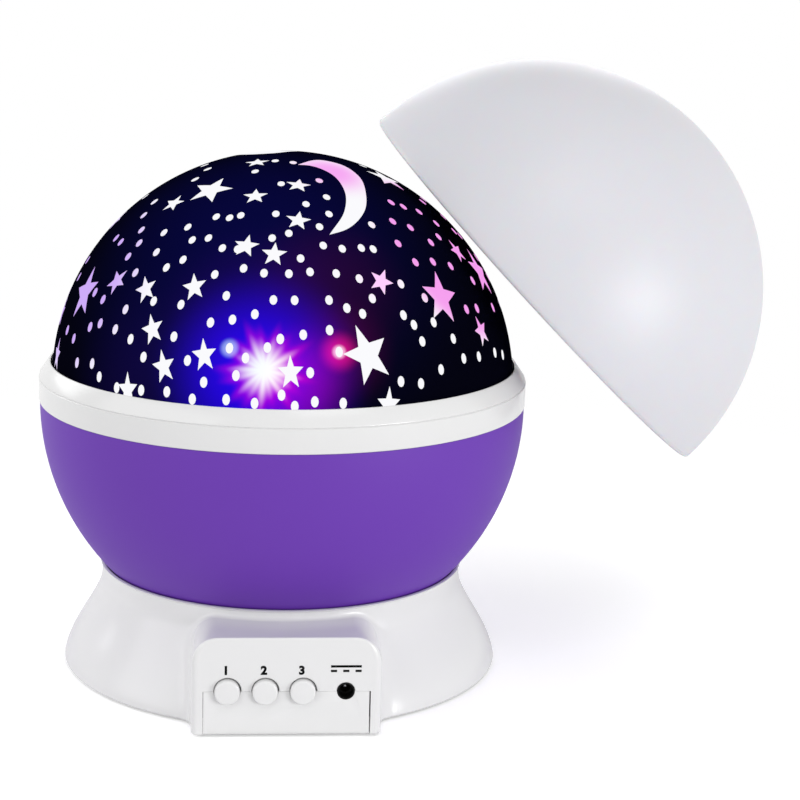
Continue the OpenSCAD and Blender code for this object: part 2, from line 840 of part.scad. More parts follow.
module motor_shaft() {
  color("silver") at_motor() cylinder_from(shaft_r, idler_z - 0.5, motor_base - 2.2);
}

module motor_pinion() {
  color("khaki")
  at_motor() difference() {
    rotate(mesh_dir + 180 + 180 / small_teeth - motor_dir)
      translate([0, 0, idler_z - 0.3]) gear(small_teeth, idler_gear_t + 0.6);
    cylinder_from(shaft_r + seat, idler_z - 2, mech_top);
  }
}

bracket_t = 1;
bracket_reach = motor_flat / 2 + bracket_t + 2.6;

module motor_bracket() {
  w = 7;
  inner = motor_flat / 2 + fit;
  color("gainsboro")
  at_motor() difference() {
    union() {
      for (s = [-1, 1]) {
        translate([-w / 2, s > 0 ? inner : -inner - bracket_t, mech_top + seat]) cube([w, bracket_t, gearbox_l]);
        translate([-w / 2, s > 0 ? inner : -inner - bracket_t - 4.2, mech_top + seat])
          cube([w, bracket_t + 4.2, bracket_t]);
      }
    }
    for (s = [-1, 1]) translate([0, s * bracket_reach, 0])
      cylinder_from(small_screw_r + 0.1, mech_top - 1, mech_top + 4);
  }
}

module bracket_screws() {
  color("silver")
  at_motor() for (s = [-1, 1]) translate([0, s * bracket_reach, mech_top + bracket_t + 2 * seat])
    screw(small_screw_r, bracket_t + plate_t + 0.5, small_head_r - 0.2);
}

// ================= lamp stem and lamps

module lamp_stem() {
  foot_r_stem = post_r;
  top = board_level - lamp_board_t - seat;
  color("white")
  difference() {
    union() {
      cylinder_from(foot_r_stem, mech_top + seat, mech_top + stem_foot_t);
      cylinder_from(stem_r, mech_top + seat, top);
      cylinder_from(lamp_screw_y + 2.2, top - 4, top);
    }
    cylinder_from(stem_r - stem_wall, mech_top - 1, top + 1);
    ring_of([0, 120, 240], fix_ring) cylinder_from(small_screw_r + 0.1, mech_top - 1, mech_top + 4);
    for (s = [-1, 1]) translate([0, s * lamp_screw_y, 0])
      cylinder_from(small_screw_r + seat, top - 3.5, top + 1);
  }
}

module lamp_board() {
  color("darkgreen")
  difference() {
    cylinder_from(led_board_r, board_level - lamp_board_t, board_level - seat);
    for (s = [-1, 1]) translate([0, s * lamp_screw_y, 0])
      cylinder_from(small_screw_r + 0.1, board_level - 5, board_level + 1);
  }
}

module lamp_board_screws() {
  color("silver")
  for (s = [-1, 1]) translate([0, s * lamp_screw_y, board_level])
    screw(small_screw_r, lamp_board_t + 2.5, small_head_r);
}

module led(k) {
  translate([led_spots[k].x, led_spots[k].y, board_level]) {
    cylinder(r = led_r + 0.4, h = 1, $fn = 48);
    cylinder(r = led_r, h = led_h, $fn = 48);
    translate([0, 0, led_h]) sphere(r = led_r, $fn = 48);
  }
}

// ================= ring, dome and star film

module globe_ring() {
  lip_r = film_r + 0.12;
  color("white") {
    rotate_extrude() polygon([
      [lip_in_r, ring_z], [ring_r, ring_z], [ring_r, ring_z + ring_band_h - 0.4],
      [ring_r - 0.3, ring_z + ring_band_h - 0.2], [ring_r - 0.1, ring_z + ring_band_h],
      [lip_r + ring_lip_t, ring_top], [lip_r, ring_top], [lip_r, dome_seat],
      [dome_r - 2.4, dome_seat], [dome_r - 2.4, upstand_top], [lip_in_r, upstand_top]
    ]);
    for (k = [0:2]) rotate(k * 120 - lug_w / 2) rotate_extrude(angle = lug_w)
      translate([upstand_r - upstand_t + 0.3, lug_z]) square([upstand_t + 0.2, lug_h]);
  }
}

module dome_shell(r_out, r_in, low) {
  translate([0, 0, dome_z]) difference() {
    sphere(r = r_out, $fn = 128);
    sphere(r = r_in, $fn = 128);
    below(low - dome_z);
  }
}

module star_dome() {
  color([0.9, 0.75, 0.95]) dome_shell(dome_r, dome_r - dome_wall, dome_seat + seat);
}

// Stars of the front: turn from the front, height, large or small, lean
front_stars = [
  [-14, 44, 0, 0], [-5, 42, 0, -6], [3, 52, 0, 5], [5, 65, 0, 10], [-16, 60, 0, 0],
  [-54, 55, 0, 20], [-34, 76, 0, 0], [-27, 33, 0, 8], [-30, 13, 0, 10], [-36, 21, 0, 12],
  [-42, 30, 0, 16], [-54, 31, 0, 16], [-20, 17, 0, 4], [0, 14, 0, 2], [26, 35, 0, -12],
  [57, 20, 0, -8], [66, 38, 0, -24], [-40, 7, 0, 8], [23, 6, 0, -6], [-76, 9, 0, 0],
  [-41, 61, 1, 18], [18, 18, 1, -22], [-67, 26, 1, 12], [44, 29, 1, -16], [74, 32, 1, -20],
  [76, 64, 1, -30]
];
// Stars of the back, laid out in the same manner
back_stars = [
  [100, 20, 0, 5], [112, 42, 0, -10], [122, 12, 0, 12], [128, 60, 0, 0], [136, 30, 1, 10],
  [150, 46, 0, -6], [156, 15, 0, 8], [166, 68, 0, 0], [172, 28, 0, -12], [188, 52, 0, 6],
  [190, 14, 0, -8], [204, 34, 1, 14], [216, 62, 0, 4], [222, 18, 0, 10], [232, 44, 0, -8],
  [244, 10, 0, 6], [250, 30, 0, -14], [256, 58, 0, 8], [270, 44, 0, 0], [275, 18, 0, 12]
];
stars = concat(front_stars, back_stars);
moons = [[12, 64], [200, 78]];

function star_r(s) = s[2] == 1 ? big_star_r : small_star_r;

// Stars low on the dome are drawn taller
function stretch(el) = 1.45 - 0.5 * min(el, 60) / 60;

function on_dome(az, el) = dome_r * [sin(az) * cos(el), -cos(az) * cos(el), sin(el)];

// Dots lie in loose rows between the stars
row_count = 12;
dot_rows = [
  for (i = [0:row_count - 1])
    let (el = 8 + 6.3 * i, n = floor(38 * cos(el)))
    for (k = [0:n - 1])
      [
        360 * (k + 0.5 * (i % 2)) / n + 2.6 * sin(137 * k + 61 * i),
        el + 2.1 * sin(97 * k + 43 * i)
      ]
];
dots = [
  for (d = dot_rows)
    let (
      p = on_dome(d[0], d[1]),
      near_star = min([for (s = stars) norm(p - on_dome(s[0], s[1])) - star_r(s)]),
      near_moon = min([for (m = moons) norm(p - on_dome(m[0], m[1]))])
    )
    if (near_star > dot_r + 0.7 && near_moon > moon_r + dot_r) d
];

// Puts a flat shape on the dome, its up side towards the top
module on_film(az, el) {
  translate([0, 0, dome_z]) rotate(az - 90) rotate([0, -el, 0]) translate([dome_r - 4, 0, 0])
    rotate([90, 0, 90]) children();
}

module star_shape(r, tall, lean) {
  rotate(lean) polygon([
    for (i = [0:9])
      let (a = 90 + 36 * i, q = i % 2 == 0 ? r : r * star_waist)
      [q * cos(a), tall * q * sin(a)]
  ]);
}

module star_film() {
  color("midnightblue")
  difference() {
    dome_shell(film_r, film_in_r, dome_seat + 0.5);
    for (s = stars)
      on_film(s[0], s[1]) linear_extrude(6) star_shape(star_r(s), stretch(s[1]), s[3]);
    for (m = moons)
      on_film(m[0], m[1]) difference() {
        cylinder(r = moon_r, h = 6);
        translate([-moon_shift, 0, -1]) cylinder(r = moon_cut_r, h = 8);
      }
    for (d = dots) on_film(d[0], d[1]) cylinder(r = dot_r, h = 6, $fn = 16);
  }
}

// ================= diffuser cover, shown lifted off

module diffuser_cover() {
  color([0.96, 0.96, 0.97])
  translate(cover_c) rotate(cover_turn) rotate([0, cover_tilt, 0])
  difference() {
    sphere(r = cover_r, $fn = 128);
    sphere(r = cover_r - cover_wall, $fn = 128);
    below(0);
  }
}

base_housing();
bottom_cover();
battery_door();
rubber_feet();
bottom_screws();
battery_cells();
contact_plates();
contact_springs();
main_board();
control_chip();
board_screws();
switch_board();
tact_switches();
dc_jack();
dc_jack_pin();
button(0);  // button_1
button(1);  // button_2
button(2);  // button_3
plunger(0);  // plunger_1
plunger(1);  // plunger_2
plunger(2);  // plunger_3
wires();
thrust_washer();
bowl();
retaining_clip();
bowl_gear();
bowl_gear_screws();
idler_gear();
idler_axle();
mech_plate();
mech_screws();
motor_gearbox();
motor_can();
motor_shaft();
motor_pinion();
motor_bracket();
bracket_screws();
lamp_stem();
lamp_board();
lamp_board_screws();
color("white") led(0);  // led_white
color("red") led(1);  // led_red
color("green") led(2);  // led_green
color("blue") led(3);  // led_blue
globe_ring();
star_dome();
star_film();
diffuser_cover();
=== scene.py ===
import json
import math

import bmesh
import bpy
import numpy as np
from bpy.props import FloatProperty, FloatVectorProperty
from mathutils import Matrix, Vector


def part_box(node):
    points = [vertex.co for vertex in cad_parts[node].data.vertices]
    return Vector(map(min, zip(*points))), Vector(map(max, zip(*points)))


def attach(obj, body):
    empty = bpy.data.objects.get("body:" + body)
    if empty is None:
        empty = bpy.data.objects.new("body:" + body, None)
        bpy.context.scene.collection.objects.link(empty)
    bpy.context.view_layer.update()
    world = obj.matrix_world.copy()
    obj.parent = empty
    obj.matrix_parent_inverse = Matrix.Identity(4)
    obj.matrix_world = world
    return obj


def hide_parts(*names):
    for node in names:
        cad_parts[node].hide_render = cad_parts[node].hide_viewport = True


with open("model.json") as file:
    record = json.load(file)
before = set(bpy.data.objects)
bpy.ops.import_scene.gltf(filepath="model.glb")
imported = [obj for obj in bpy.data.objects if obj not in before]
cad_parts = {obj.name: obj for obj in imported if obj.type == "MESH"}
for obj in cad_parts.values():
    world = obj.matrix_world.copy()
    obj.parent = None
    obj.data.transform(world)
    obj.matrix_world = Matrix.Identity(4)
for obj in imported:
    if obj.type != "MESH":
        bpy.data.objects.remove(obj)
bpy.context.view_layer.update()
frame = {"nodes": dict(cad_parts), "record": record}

bl_info = {
    "name": "Star night light",
    "version": (1, 0, 0),
    "blender": (4, 5, 0),
    "location": "3D View > Sidebar > Night light",
    "description": "Builds a globe night light with a star-cut film around its solid model",
    "category": "Object",
}

MM = 0.001
MERGE = 1e-7                                           # distance within which vertices merge, in metres
AXIS_ROOM = 1e-9                                       # nearer than this, a point lies on the axis of a spin
SEAT = 0.02 * MM                                       # gap between faces that rest on each other
SHARP = math.radians(35)                               # an edge that turns further is drawn sharp


# ---------------------------------------------------------------- places taken from the solid model

def low(node):
    """The low corner of a node's box."""
    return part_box(node)[0]


def high(node):
    """The high corner of a node's box."""
    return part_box(node)[1]


def middle_x(node):
    """The middle of a node's box, from left to right."""
    return (low(node).x + high(node).x) / 2


FLOOR_GAP = low("bottom_cover").z                      # height of the housing's lower edge
PANEL_Y = low("bottom_cover").y                        # the panel's face
SOLID_TAB_HALF = 18.8 * MM                             # half width of the solid model's tab
BUTTON_XS = [middle_x(n) for n in ("button_1", "button_2", "button_3")]
BUTTON_Z = (low("button_1").z + high("button_1").z) / 2
FLANGE = 0.7 * MM                                      # how far a button's flange stands out of its cap
BUTTON_R = (high("button_1").x - low("button_1").x) / 2 - FLANGE
JACK_X = middle_x("dc_jack_pin")
RING_LOW = low("globe_ring").z
RING_TOP = high("globe_ring").z
RING_R = high("globe_ring").x
BOWL_R = high("bowl").x
BOWL_Z = RING_LOW - 0.7 * MM                           # centre of the bowl
BOWL_FLOOR = low("bowl").z
NECK_R = 45 * MM
BOWL_GAP = 0.45 * MM                                   # gap between the bowl and its saucer
RIM_Z = BOWL_Z - math.sqrt((BOWL_R + BOWL_GAP) ** 2 - NECK_R ** 2)  # where the saucer meets the neck
PANEL_TOP = RIM_Z - 1.85 * MM                          # top of the panel's face
DECK_TOP = BOWL_FLOOR - 1.02 * MM                      # a washer carries the bowl on the deck
DECK_LOW = DECK_TOP - 2 * MM                           # underside of the deck round the post
POST_TOP = high("base_housing").z
DOME_Z = RING_LOW + 3.8 * MM                           # centre of the dome
DOME_CENTRE = Vector((0, 0, DOME_Z))
FILM_R = high("star_film").z - DOME_Z


def dome_point(az, el, radius):
    """A point round the dome's centre. The turn is measured from the front, towards the right."""
    a, e = math.radians(az), math.radians(el)
    out = Vector((math.sin(a) * math.cos(e), -math.cos(a) * math.cos(e), math.sin(e)))
    return out * radius + DOME_CENTRE


# ---------------------------------------------------------------- sizes and colours

def hex_to_linear(code):
    """An sRGB hex colour as linear red, green, blue and alpha."""
    parts = [int(code[i:i + 2], 16) / 255 for i in (1, 3, 5)]
    return tuple(c / 12.92 if c <= 0.04045 else ((c + 0.055) / 1.055) ** 2.4 for c in parts) + (1.0,)


def length(name, description, mm):
    """A length that a user can change, given in millimetres."""
    return FloatProperty(name=name, description=description, default=mm * MM, unit="LENGTH", precision=5)


def angle(name, description, degrees):
    """An angle that a user can change, given in degrees."""
    return FloatProperty(
        name=name, description=description, default=math.radians(degrees), subtype="ANGLE")


def colour(name, description, code):
    """A colour that a user can change, given as sRGB hex."""
    return FloatVectorProperty(
        name=name, description=description, default=hex_to_linear(code), size=4, min=0, max=1,
        subtype="COLOR")


class BaseSizes(bpy.types.PropertyGroup):
    """Sizes of the base housing and its control panel"""
    foot_r: length("Foot radius", "Radius of the skirt at the floor", 54.7)
    neck_r: length("Neck radius", "Radius of the neck under the globe", NECK_R / MM)
    neck_h: length("Neck height", "Height of the straight neck below the rim", 3.8)
    bend: FloatProperty(name="Flare", description="How much the skirt curves", default=0.7, min=0.2, max=1)
    wall: length("Wall", "Wall of the skirt and the saucer", 2.2)
    edge: length("Edge", "Radius of the panel's side edges", 1.5)
    top_edge: length("Top edge", "Radius of the panel's top edge", 0.4)
    blend: length("Blend", "Width of the soft blend between the skirt and the panel", 3.8)
    top_blend: length("Top blend", "Width of the blend between the neck and the panel's ledge", 1.2)
    corner: length("Corner", "Radius of the panel's top corners", 6.2)
    lip: length("Lip", "How far the panel's face stands above its ledge", 0.6)
    panel_w: length("Panel width", "Width of the control panel", 43.4)
    tab_w: length("Tab width", "Width of the tab in the panel's lower half", 37.8)
    seam: length("Seam", "Width of the gap round the tab", 0.1)
    right_seam: length("Right seam", "Width of the gap right of the tab", 0.32)


class GlobeSizes(bpy.types.PropertyGroup):
    """Sizes of the bowl, the ring, the film and the cover"""
    bowl_wall: length("Bowl wall", "Wall thickness of the bowl", 2)
    bowl_gap: length("Bowl gap", "Gap between the bowl and its saucer", BOWL_GAP / MM)
    groove: length("Groove", "Depth of the groove under the ring's lip", 0.3)
    film_t: length("Film", "Thickness of the star film", 0.2)
    window_proud: length("Window", "How far a clear window stands out of the film", 0.03)
    cover_wall: length("Cover wall", "Wall thickness of the diffuser cover", 1.6)
    cover_tilt: angle("Cover tilt", "Tilt of the lifted cover", 45.5)
    cover_turn: angle("Cover turn", "Turn of the lifted cover", -3.7)


class FilmPattern(bpy.types.PropertyGroup):
    """Sizes of the stars and dots in the film"""
    big_star: length("Large star", "Radius of a large star", 5.6)
    small_star: length("Small star", "Radius of a small star", 3)
    waist: FloatProperty(name="Waist", description="Inner radius as a share of the radius", default=0.42)
    dot_half_w: length("Dot half width", "Half the width of a dot", 0.86)
    dot_half_h: length("Dot half height", "Half the height of a dot low on the dome", 1.3)


class Finishes(bpy.types.PropertyGroup):
    """Colours of the plastics, the film and the ink"""
    white: colour("White plastic", "Glossy white ABS", "#DBDBDB")
    purple: colour("Purple plastic", "Satin purple polypropylene", "#6535A6")
    milky: colour("Milky plastic", "Frosted milky polypropylene", "#D0D1D7")
    night: colour("Night ink", "Dark ink of the film", "#04040E")
    ink: colour("Ink", "Ink of the marks", "#0B0B0C")


class StageSettings(bpy.types.PropertyGroup):
    """Strength of the light, and the camera's angles"""
    tent: FloatProperty(name="Light tent", description="Strength of the light from all sides", default=0.62)
    key: FloatProperty(name="Key lamp", description="Power of the key lamp in watts", default=1.3)
    left: FloatProperty(name="Left lamp", description="Power of the left lamp in watts", default=4.1)
    right: FloatProperty(name="Right lamp", description="Power of the right lamp in watts", default=3.6)
    back: FloatProperty(name="Back lamps", description="Power of each back lamp in watts", default=1.3)
    lift: FloatProperty(name="Floor", description="Extra brightness of the floor", default=0.3)
    camera_yaw: angle("Camera yaw", "Turn of the camera to the right", 4.92)
    camera_pitch: angle("Camera pitch", "Downward tilt of the camera", 12.64)
    camera_roll: angle("Camera roll", "Roll of the camera", 1.507)


GROUPS = {"lamp_base": BaseSizes, "lamp_globe": GlobeSizes, "lamp_film": FilmPattern,
          "lamp_finish": Finishes, "lamp_stage": StageSettings}


# ---------------------------------------------------------------- small tools

def add_node(tree, kind, inputs=None, **settings):
    """Adds a node. An input is a value, or another node's output that is linked to it."""
    node = tree.nodes.new(kind)
    for name, value in settings.items():
        setattr(node, name, value)
    for name, value in (inputs or {}).items():
        if isinstance(value, bpy.types.NodeSocket):
            tree.links.new(value, node.inputs[name])
        else:
            node.inputs[name].default_value = value
    return node


def loose_object(name, bm):
    """An object with no body: a cutter, or a piece of the stage."""
    mesh = bpy.data.meshes.new(name)
    bm.to_mesh(mesh)
    bm.free()
    obj = bpy.data.objects.new(name, mesh)
    bpy.context.scene.collection.objects.link(obj)
    return obj


def finish_piece(name, bm, body, material, replaces=(), sharp=SHARP):
    """Turns a bmesh into a smooth-shaded object that rides on a body."""
    obj = loose_object(name, bm)
    obj.data.materials.append(material)
    obj.data.shade_smooth()
    obj.data.set_sharp_from_angle(angle=sharp)
    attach(obj, body)
    if replaces:
        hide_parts(*replaces)
    return obj


def spin_profile(points, steps=224):
    """A closed outline of (x, y, z) points turned a full turn about Z. A side along the axis is left open."""
    bm = bmesh.new()
    verts = [bm.verts.new(p) for p in points]
    pairs = zip(verts, verts[1:] + verts[:1])
    edges = [bm.edges.new((a, b)) for a, b in pairs if max(a.co.x, b.co.x) > AXIS_ROOM]
    bmesh.ops.spin(bm, geom=verts + edges, cent=(0, 0, 0), axis=(0, 0, 1), dvec=(0, 0, 0),
                   angle=math.tau, steps=steps, use_merge=True, use_duplicate=False)
    bmesh.ops.remove_doubles(bm, verts=bm.verts, dist=MERGE)
    bmesh.ops.recalc_face_normals(bm, faces=bm.faces)
    return bm


def join(bm, part):
    """Adds a part to a bmesh and frees it."""
    mesh = bpy.data.meshes.new("part")
    part.to_mesh(mesh)
    part.free()
    bm.from_mesh(mesh)
    bpy.data.meshes.remove(mesh)


def bevel(bm, edges, width, segments):
    """Rounds edges by a width."""
    bmesh.ops.bevel(bm, geom=edges, offset=width, offset_type="OFFSET", segments=segments, profile=0.5,
                    affect="EDGES", clamp_overlap=True, material=-1)


def arc(centre, radius, start, end, steps):
    """Points on an arc in the XZ plane, angles in degrees from +X towards +Z."""
    return [(centre[0] + radius * math.cos(a), 0, centre[1] + radius * math.sin(a))
            for a in np.radians(np.linspace(start, end, steps + 1))]


def subtract(obj, cutters):
    """Cuts the cutters out of a piece and deletes them."""
    for cutter in cutters:
        cut = obj.modifiers.new("cut", "BOOLEAN")
        cut.operation = "DIFFERENCE"
        cut.solver = "EXACT"
        cut.object = cutter
    depsgraph = bpy.context.evaluated_depsgraph_get()
    mesh = bpy.data.meshes.new_from_object(obj.evaluated_get(depsgraph))
    obj.modifiers.clear()
    obj.data = mesh
    for cutter in cutters:
        bpy.data.objects.remove(cutter)


def block(low_corner, high_corner):
    """A box between two corners."""
    bm = bmesh.new()
    bmesh.ops.create_cube(bm, size=1.0)
    a, b = Vector(low_corner), Vector(high_corner)
    bmesh.ops.scale(bm, vec=b - a, verts=bm.verts)
    bmesh.ops.translate(bm, vec=(a + b) / 2, verts=bm.verts)
    return bm


def turn_to_panel(bm, x, y, z):
    """Lays a piece that was turned about +Z along +Y, and moves it to its place."""
    bmesh.ops.rotate(bm, cent=(0, 0, 0), matrix=Matrix.Rotation(math.radians(-90), 3, "X"), verts=bm.verts)
    bmesh.ops.translate(bm, vec=(x, y, z), verts=bm.verts)
    bmesh.ops.recalc_face_normals(bm, faces=bm.faces)


# ---------------------------------------------------------------- materials

CLOUD = 25 * MM                                        # size of the faint clouds in a moulded colour
WHITE = hex_to_linear("#FFFFFF")


def principled(name, **values):
    """A material with one Principled node, and the node tree to build on."""
    material = bpy.data.materials.new(name)
    material.use_nodes = True
    tree = material.node_tree
    shader = tree.nodes["Principled BSDF"]
    for key, value in values.items():
        shader.inputs[key.replace("_", " ")].default_value = value
    return material, tree, shader


def moulded(name, tint, roughness, grain_mm, depth_mm, mottle=0.03, **values):
    """An almost even colour with faint clouds, and the fine skin that a moulding tool leaves."""
    material, tree, shader = principled(name, Roughness=roughness, **values)
    place = add_node(tree, "ShaderNodeTexCoord").outputs["Object"]
    clouds = add_node(tree, "ShaderNodeTexNoise", {"Vector": place, "Scale": 1 / CLOUD, "Detail": 2.0})
    darker = tuple(c * (1 - mottle) for c in tint[:3]) + (1.0,)
    mix = add_node(tree, "ShaderNodeMix", {"Factor": clouds.outputs["Fac"], "A": darker, "B": tint},
                   data_type="RGBA")
    tree.links.new(mix.outputs["Result"], shader.inputs["Base Color"])
    grain = add_node(tree, "ShaderNodeTexNoise",
                     {"Vector": place, "Scale": 1 / (grain_mm * MM), "Detail": 3.0})
    bump = add_node(tree, "ShaderNodeBump",
                    {"Height": grain.outputs["Fac"], "Strength": 0.35, "Distance": depth_mm * MM})
    tree.links.new(bump.outputs["Normal"], shader.inputs["Normal"])
    return material


def glossy_abs(finish):
    """White ABS from a polished tool: bright and even, with soft clear highlights."""
    return moulded("glossy_white_abs", tuple(finish.white), roughness=0.22, grain_mm=3.0, depth_mm=0.002,
                   IOR=1.5)


def satin_pp(finish):
    """Purple polypropylene from a fine-blasted tool: strong even colour and hardly any highlight.
    Its grain is drawn coarser than it is, so that it shows."""
    return moulded("satin_purple_pp", tuple(finish.purple), roughness=0.55, grain_mm=0.8, depth_mm=0.006,
                   Specular_IOR_Level=0.25)


def frosted_pp(finish):
    """Frosted milky polypropylene: light soaks into it, so its shading is soft and highlights are broad.
    Its grain is drawn coarser than it is, so that it shows."""
    return moulded("frosted_milky_pp", tuple(finish.milky), roughness=0.42, grain_mm=0.9, depth_mm=0.006,
                   IOR=1.46, Subsurface_Weight=0.35, Subsurface_Scale=4 * MM)


def plain(name, tint, roughness, metallic=0.0, grain_mm=1.2, depth_mm=0.01, gloss=0.5):
    """A plain finish of one colour, given as sRGB hex or as a user's linear colour."""
    tint = hex_to_linear(tint) if isinstance(tint, str) else tuple(tint)
    return moulded(name, tint, roughness, grain_mm, depth_mm, 0.12, Metallic=metallic,
                   Specular_IOR_Level=gloss)


def inner_finishes():
    """The finish of every material slot that no shown piece has of its own."""
    return {
        # natural rubber, moulded matt: soft dark grey with no highlight
        "foot_rubber": plain("moulded_black_rubber", "#262627", 0.85),
        # zinc-plated steel, stamped: bright grey metal
        "steel": plain("zinc_plated_steel", "#B9BBBE", 0.32, metallic=1.0, grain_mm=0.6),
        # machined brass: warm yellow metal
        "brass": plain("machined_brass", "#C9A24B", 0.3, metallic=1.0, grain_mm=0.5),
        # shrink sleeve of a cell: smooth green PVC
        "cell_sleeve": plain("pvc_cell_sleeve", "#1F7A45", 0.3),
        # glass-fibre board with solder resist: smooth even green
        "circuit_board": plain("solder_resist_board", "#14603A", 0.4, grain_mm=0.5),
        # moulded nylon: black with a faint sheen
        "black_plastic": plain("black_nylon", "#0B0B0C", 0.5, gloss=0.2),
        # extruded PVC wire sleeve: red with a soft sheen
        "wire_sleeve": plain("pvc_wire_sleeve", "#A3201C", 0.45),
        # natural acetal, moulded: ivory and slightly waxy
        "gear_plastic": plain("natural_acetal", "#E7E0CB", 0.38),
        # moulded polystyrene, lightly frosted: pale lilac
        "dome_plastic": plain("frosted_polystyrene", "#E6D9F0", 0.35),
        # clear epoxy lamps that are switched on: even light in their own colour
        "lamp_white": glowing_lamp("white_lamp_epoxy", "#F2F6FF"),
        "lamp_red": glowing_lamp("red_lamp_epoxy", "#FF2A3C"),
        "lamp_green": glowing_lamp("green_lamp_epoxy", "#25F0B0"),
        "lamp_blue": glowing_lamp("blue_lamp_epoxy", "#2A38FF"),
    }


def glowing_lamp(name, code):
    """Clear epoxy lit by the chip inside it."""
    tint = hex_to_linear(code)
    return principled(name, Base_Color=tint, Roughness=0.1, Emission_Color=tint, Emission_Strength=0.8)[0]


# ---------------------------------------------------------------- base housing

NECK_EASE = 0.15                                       # share of the skirt over which the neck eases in
PAST_FOOT = 1.02                                       # the flare goes on a little below the lower edge
LIP_FLAT, LIP_FALL = 0.5 * MM, 1 * MM                  # the lip's flat top, and the fall behind it
BLEND_DROP, BLEND_FADE = 8 * MM, 6 * MM                # how far below the top the blend narrows, and how fast
PANEL_BACK = -20 * MM                                  # the panel's block ends here, well inside the skirt
FOOT_ROUND = 0.5 * MM                                  # rounding of the housing's lower edge
INNER_ROUND = 0.8 * MM                                 # what the wall adds to its inner corners' radius
POST_R, POST_BORE_R = 8 * MM, 3.5 * MM
NEAR = 1e-9                                            # keeps a division away from zero


def smooth_step(t):
    """A soft rise from 0 to 1."""
    return t * t * (3 - 2 * t)


def soft_min(a, b, k):
    """The smaller of two distances, blended over a width."""
    h = np.maximum(k - np.abs(a - b), 0) / k
    return np.minimum(a, b) - h * h * k / 4


def round_max(a, b, radius):
    """The larger of two distances, with the edge between them rounded."""
    a, b = a + radius, b + radius
    return np.hypot(np.maximum(a, 0), np.maximum(b, 0)) + np.minimum(np.maximum(a, b), 0) - radius


def skirt_radius(z, base):
    """Outer radius of the skirt at a height, and its slope."""
    neck_z = RIM_Z - base.neck_h
    skirt_h = neck_z - FLOOR_GAP
    fall = np.clip((neck_z - z) / skirt_h, -NECK_EASE, PAST_FOOT)
    ease = np.minimum((fall + NECK_EASE) / (2 * NECK_EASE), 1)
    t = np.where(fall < NECK_EASE, ease * ease * NECK_EASE, fall)
    grow = base.foot_r - base.neck_r
    radius = base.neck_r + grow * ((1 - base.bend) * t + base.bend * smooth_step(t))
    slope = -grow / skirt_h * ((1 - base.bend) + base.bend * 6 * t * (1 - t)) * ease
    return radius, slope


def housing_distance(phi, r, z, base, edge, top_edge=None):
    """Signed distance to the housing's skin, at a turn from the front, a radius and a height.
    The panel's edge is rounded by edge at its sides and by top_edge at its top."""
    radius, slope = skirt_radius(z, base)
    skirt = (r - radius) / np.sqrt(1 + slope * slope)
    x, y = r * np.sin(phi), -r * np.cos(phi)
    ahead = PANEL_Y - y
    top = PANEL_TOP - base.lip * smooth_step(np.clip((-ahead - LIP_FLAT) / LIP_FALL, 0, 1))
    side, above = np.abs(x) - base.panel_w / 2, z - top
    if top_edge is not None:
        u, v = np.maximum(side + base.corner, 0), np.maximum(above + base.corner, 0)
        sideways = np.where(v > 0, u / np.maximum(np.hypot(u, v), NEAR), 1)
        edge = top_edge + (edge - top_edge) * sideways ** 2
    panel = np.maximum(round_max(round_max(side, above, base.corner), ahead, edge), y - PANEL_BACK)
    rise = np.clip((above + BLEND_DROP) / BLEND_FADE, 0, 1)
    return soft_min(skirt, panel, base.blend + (base.top_blend - base.blend) * smooth_step(rise))


def trace(distance, phi, r, z, heading, stop):
    """Follows the zero line of a distance in the (r, z) plane of every column at once."""
    step, nudge, most = 0.12 * MM, 0.01 * MM, 900
    path = [np.stack([r, z], 1)]
    live = np.ones_like(r, bool)
    direction = np.tile(np.array(heading, float), (len(r), 1))
    for _ in range(most):
        p = path[-1]
        q = p + direction * step
        for _ in range(3):                             # steps back onto the line
            d = distance(phi, q[:, 0], q[:, 1])
            g = np.stack([(distance(phi, q[:, 0] + nudge, q[:, 1]) - d) / nudge,
                          (distance(phi, q[:, 0], q[:, 1] + nudge) - d) / nudge], 1)
            q = q - g * (d / np.maximum((g * g).sum(1), NEAR))[:, None]
        q = np.where(live[:, None], q, p)
        move = q - p
        size = np.linalg.norm(move, axis=1)
        direction = np.where((size > NEAR)[:, None], move / np.maximum(size, NEAR)[:, None], direction)
        path.append(q)
        live &= ~stop(phi, q[:, 0], q[:, 1])
        if not live.any():
            break
    return np.stack(path, 1)


def even_rows(path, rows):
    """The same number of points on every column's path, closer together where it bends."""
    most_bend, bend_length = 0.4, 1.2 * MM
    spread = np.hanning(9) / np.hanning(9).sum()
    out = []
    for line in path:
        move = np.diff(line, axis=0)
        size = np.linalg.norm(move, axis=1)
        moving = size > NEAR
        heading = move / np.maximum(size, NEAR)[:, None]
        bend = np.concatenate([[0], np.linalg.norm(np.diff(heading, axis=0), axis=1)]) * moving
        bend = np.convolve(bend, spread, mode="same")
        run = np.cumsum(size + np.minimum(bend, most_bend) * bend_length * moving)
        run = np.concatenate([[0], run])
        at = np.linspace(0, run[-1], rows)
        out.append(np.stack([np.interp(at, run, line[:, 0]), np.interp(at, run, line[:, 1])], 1))
    return np.stack(out)


def sphere_rows(start, end, radius, rows):
    """Points on the bowl-centred circle between two (r, z) points, per column."""
    a0 = np.arctan2(start[..., 1] - BOWL_Z, start[..., 0])
    a1 = np.arctan2(end[..., 1] - BOWL_Z, end[..., 0])
    s = np.linspace(0, 1, rows)[None, :]
    a = a0[:, None] * (1 - s) + a1[:, None] * s
    return np.stack([radius * np.cos(a), BOWL_Z + radius * np.sin(a)], 2)


